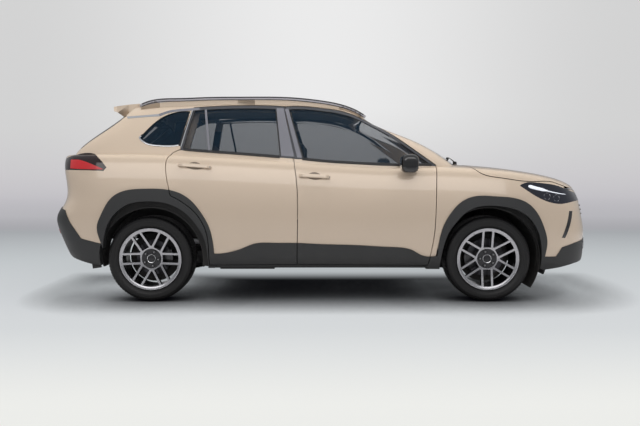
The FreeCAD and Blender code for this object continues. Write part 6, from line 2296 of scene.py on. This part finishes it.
@dataclass
class Cabin:
    """Console, instrument hood, screen, vents, pedals, door armrests and inner mirror."""

    surface: Surface

    def build(self) -> None:
        """Makes the cabin's hard pieces."""
        self.console()
        self.dash()
        self.armrests()
        self.inner_mirror()
        self.wheel_pad()

    def console(self) -> None:
        """The centre console with its lever."""
        path = smooth_curve([(-0.10, 0, 0.475), (0.10, 0, 0.470), (0.34, 0, 0.440), (0.52, 0, 0.500),
                             (0.575, 0, 0.570)], 30)
        body = Shape.bar(path, (0.088, 0.085, 0.022, 5)).painted(0)
        low = Shape.bar([(-0.08, 0, 0.36), (0.56, 0, 0.36)], (0.080, 0.060, 0.01, 3))
        lever = Shape.bar(smooth_curve([(0.300, 0, 0.520), (0.292, 0, 0.570), (0.280, 0, 0.625)], 12),
                          (0.008, 0.008, 0.007, 4), up=(0, 1, 0)).painted(1)
        knob = Shape.turned([(0.0, 0.030), (0.015, 0.028), (0.022, 0.018), (0.024, 0.004), (0.016, -0.022),
                             (0.0, -0.024)], 28).turned_by(np.array([[1, 0, 0], [0, 0, -1], [0, 1, 0]]))
        knob = knob.moved((0.278, 0.0, 0.645)).outward().painted(0)
        put("console", Shape.joined([body, low.painted(0), lever, knob]), "body_shell", "cabin",
            Palette.cabin, Palette.chrome)

    def dash(self) -> None:
        """An instrument hood and glass, a centre screen, a trim strip, four round vents and three pedals."""
        hood = Shape.bar(smooth_curve([(0.628, 0.560, 1.008), (0.612, 0.500, 1.052), (0.606, 0.370, 1.072),
                                       (0.612, 0.240, 1.052), (0.628, 0.180, 1.008)], 30),
                         (0.045, 0.007, 0.005, 4), up=(0, 0, 1)).painted(0)
        glass = Shape.bar([(0.630, 0.250, 1.010), (0.630, 0.490, 1.010)], (0.006, 0.036, 0.004, 3),
                          up=(0.25, 0, 1)).painted(1)
        screen = Shape.bar([(0.600, -0.120, 1.008), (0.600, 0.120, 1.008)], (0.008, 0.068, 0.005, 3),
                           up=(0.2, 0, 1)).painted(1)
        strip = Shape.bar([(0.578, -0.66, 0.890), (0.571, 0.0, 0.890), (0.578, 0.66, 0.890)],
                          (0.006, 0.016, 0.004, 3)).painted(2)
        pieces = [hood, glass, screen, strip]
        ring = Shape.turned([(0.026, 0.0), (0.034, 0.0), (0.038, -0.006), (0.034, 0.010), (0.027, 0.010)], 36,
                            wrap=True)
        fin = Shape.sweep(np.array([(-0.026, 0.003, 0.0), (0.026, 0.003, 0.0)]),
                          rounded_bar(0.004, 0.0012, 0.0008, 2))
        face = rotation_z(math.pi / 2)
        for y in (-0.600, -0.175, 0.175, 0.600):
            parts = [ring.painted(2)] + [fin.moved((0.0, 0.0, dz)).painted(0) for dz in (-0.014, 0.0, 0.014)]
            for part in parts:
                pieces.append(part.turned_by(face).moved((0.568, y, 0.955)).outward())
        put("dash_fittings", Shape.joined(pieces), "body_shell", "cabin", Palette.cabin, Palette.screen,
            Palette.rail)
        pads = []
        for y, tall in ((0.300, 0.050), (0.385, 0.045), (0.470, 0.045)):
            stem = Shape.bar(smooth_curve([(0.830, y, 0.620), (0.800, y, 0.520), (0.772, y, 0.440)], 12),
                             (0.006, 0.006, 0.005, 3), up=(0, 1, 0))
            plate = Shape.bar([(0.765, y, 0.430 - tall / 2), (0.775, y, 0.430 + tall / 2)],
                              (0.026, 0.006, 0.004, 3), up=(1, 0, 0))
            pads += [stem, plate]
        put("pedals", Shape.joined(pads), "body_shell", "cabin", Palette.satin_black)

    def armrests(self) -> None:
        """Armrest and pull on each door's inner face."""
        for side in Side:
            for word, low, high in (("front", 0.02, 0.52), ("rear", -0.80, -0.36)):
                middle = (low + high) / 2
                rest = self.surface.strip([(low, 0.735), (middle, 0.745), (high, 0.760)],
                                          rounded_bar(0.030, 0.034, 0.018, 5), 30, -0.112)
                pull = self.surface.strip([(middle - 0.09, 0.860), (middle, 0.866), (middle + 0.09, 0.872)],
                                          rounded_bar(0.013, 0.010, 0.006, 4), 20, -0.101)
                shape = Shape.joined([rest.painted(0), pull.painted(1)]).on(side)
                put("%s_armrest_%s" % (word, side.word), shape, "%s_door_%s" % (word, side.word), "cabin",
                    Palette.cabin, Palette.rail)

    def inner_mirror(self) -> None:
        """The inner mirror on its stalk from the screen's head."""
        stalk = Shape.bar(smooth_curve([(0.352, 0.0, 1.488), (0.330, 0.0, 1.452), (0.316, 0.0, 1.425)], 10),
                          (0.009, 0.009, 0.006, 4), up=(0, 1, 0)).painted(0)
        head = Shape.bar([(0.306, -0.118, 1.405), (0.306, 0.118, 1.405)], (0.013, 0.034, 0.011, 5)).painted(0)
        glass = Shape.bar([(0.2925, -0.112, 1.405), (0.2925, 0.112, 1.405)],
                          (0.001, 0.029, 0.0008, 3)).painted(1)
        put("inner_mirror", Shape.joined([stalk, head, glass]), "body_shell", "cabin", Palette.cabin,
            Palette.mirror)

    def wheel_pad(self) -> None:
        """The steering wheel's middle pad, a rounded dish facing the seat."""
        lean = math.radians(24)
        axis = np.array([-math.cos(lean), 0.0, math.sin(lean)])
        pad = Shape.turned([(0.0, 0.056), (0.035, 0.054), (0.060, 0.046), (0.070, 0.034), (0.066, 0.022),
                            (0.0, 0.020)], 40)
        pad = pad.turned_by(turn_to(axis)).moved((0.430, 0.370, 0.905)).outward()
        put("wheel_pad", pad, "steering_wheel_body", "cabin", Palette.satin_black)


def both_sides(pattern: str) -> list[str]:
    """Node names of the left and the right, from a pattern with one gap."""
    return [pattern % side.word for side in Side]


def dress_body(panels: Panels) -> None:
    """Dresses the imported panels, panes and trims with smooth copies.

    Args:
        panels: the maker of the copies.
    """
    panels.build(both_sides("body_side_%s"), Dressing(
        Palette.paint, Palette.cabin, 0.075, below=Palette.cladding, level=0.302,
        pockets=((-1.485, -1.135, 1.205, 1.508),)))
    panels.build(["roof_panel"], Dressing(Palette.paint, Palette.headliner, 0.016))
    panels.build(["front_fenders", "hood"], Dressing(Palette.paint, Palette.under, 0.020))
    panels.build(["front_bumper", "rear_bumper"], Dressing(Palette.paint, Palette.satin_black, 0.030))
    panels.build(["tailgate"], Dressing(Palette.paint, Palette.cabin, 0.0045))
    panels.build(["rear_spoiler"], Palette.paint)
    panels.build(both_sides("door_front_%s"), Dressing(
        Palette.paint, Palette.cabin, 0.030, above=Palette.frame_black,
        belt=((-0.165, 1.112), (0.828, 1.062))))
    panels.build(both_sides("door_rear_%s"), Dressing(
        Palette.paint, Palette.cabin, 0.030, above=Palette.frame_black,
        belt=((-1.112, 1.184), (-0.344, 1.126))))
    panels.build(["front_bumper_trim", "rear_bumper_trim", "arch_trims_front", "arch_trims_rear"]
                 + both_sides("door_front_cladding_%s") + both_sides("door_rear_cladding_%s"),
                 Palette.cladding)
    panels.build(["quarter_windows", "tailgate_glass"] + both_sides("door_rear_glass_%s")
                 + both_sides("door_front_glass_%s"), Palette.side_glass)
    panels.build(["windscreen"], Palette.clear_glass)
    panels.build(["front_grille", "cowl_panel"], Palette.satin_black)
    panels.build(["headlamps"], Palette.lamp_blue)
    panels.build(["tail_lamps"], Palette.smoke_lens)
    panels.build(both_sides("mirror_%s"), Palette.gloss_black)
    panels.build(["roof_rails"], Dressing(Palette.paint, Palette.rail, 0.006))
    panels.build(["fuel_tank"], Palette.under)
    panels.build(["dashboard", "steering_wheel"], Palette.cabin)
    panels.build(["front_subframe", "rear_axle_beam", "exhaust_pipe"] + both_sides("knuckle_%s"),
                 Palette.steel)


def dress_rest() -> None:
    """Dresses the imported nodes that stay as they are."""
    Frame.dress(["floor_pan", "cargo_floor"], Palette.carpet)
    Frame.dress(["bulkhead", "front_wheelhouses", "rear_wheelhouses"], Palette.under)
    Frame.dress(["engine_block"], Palette.iron)


def main() -> None:
    """Builds the studio and every dressed piece in order."""
    logging.basicConfig(level=logging.INFO, format="%(name)s %(message)s")
    Studio().build()
    skins = BodyForm().skins()
    surface, edges = Surface(skins), Edges(skins)
    dress_body(Panels(skins))
    dress_rest()
    for axle in Axle:
        for side in Side:
            Wheel(axle, side, 30.0 if axle is Axle.REAR else 0.0).build()
    Windows(surface, edges).build()
    RoofTrim(surface).build()
    Liners().build()
    DoorFittings(surface).build()
    Lamps(surface).build()
    FrontEnd(surface).build()
    RearEnd(surface).build()
    Wipers(surface).build()
    Upholstery().build()
    Cabin(surface).build()


if __name__ == "__main__":
    main()
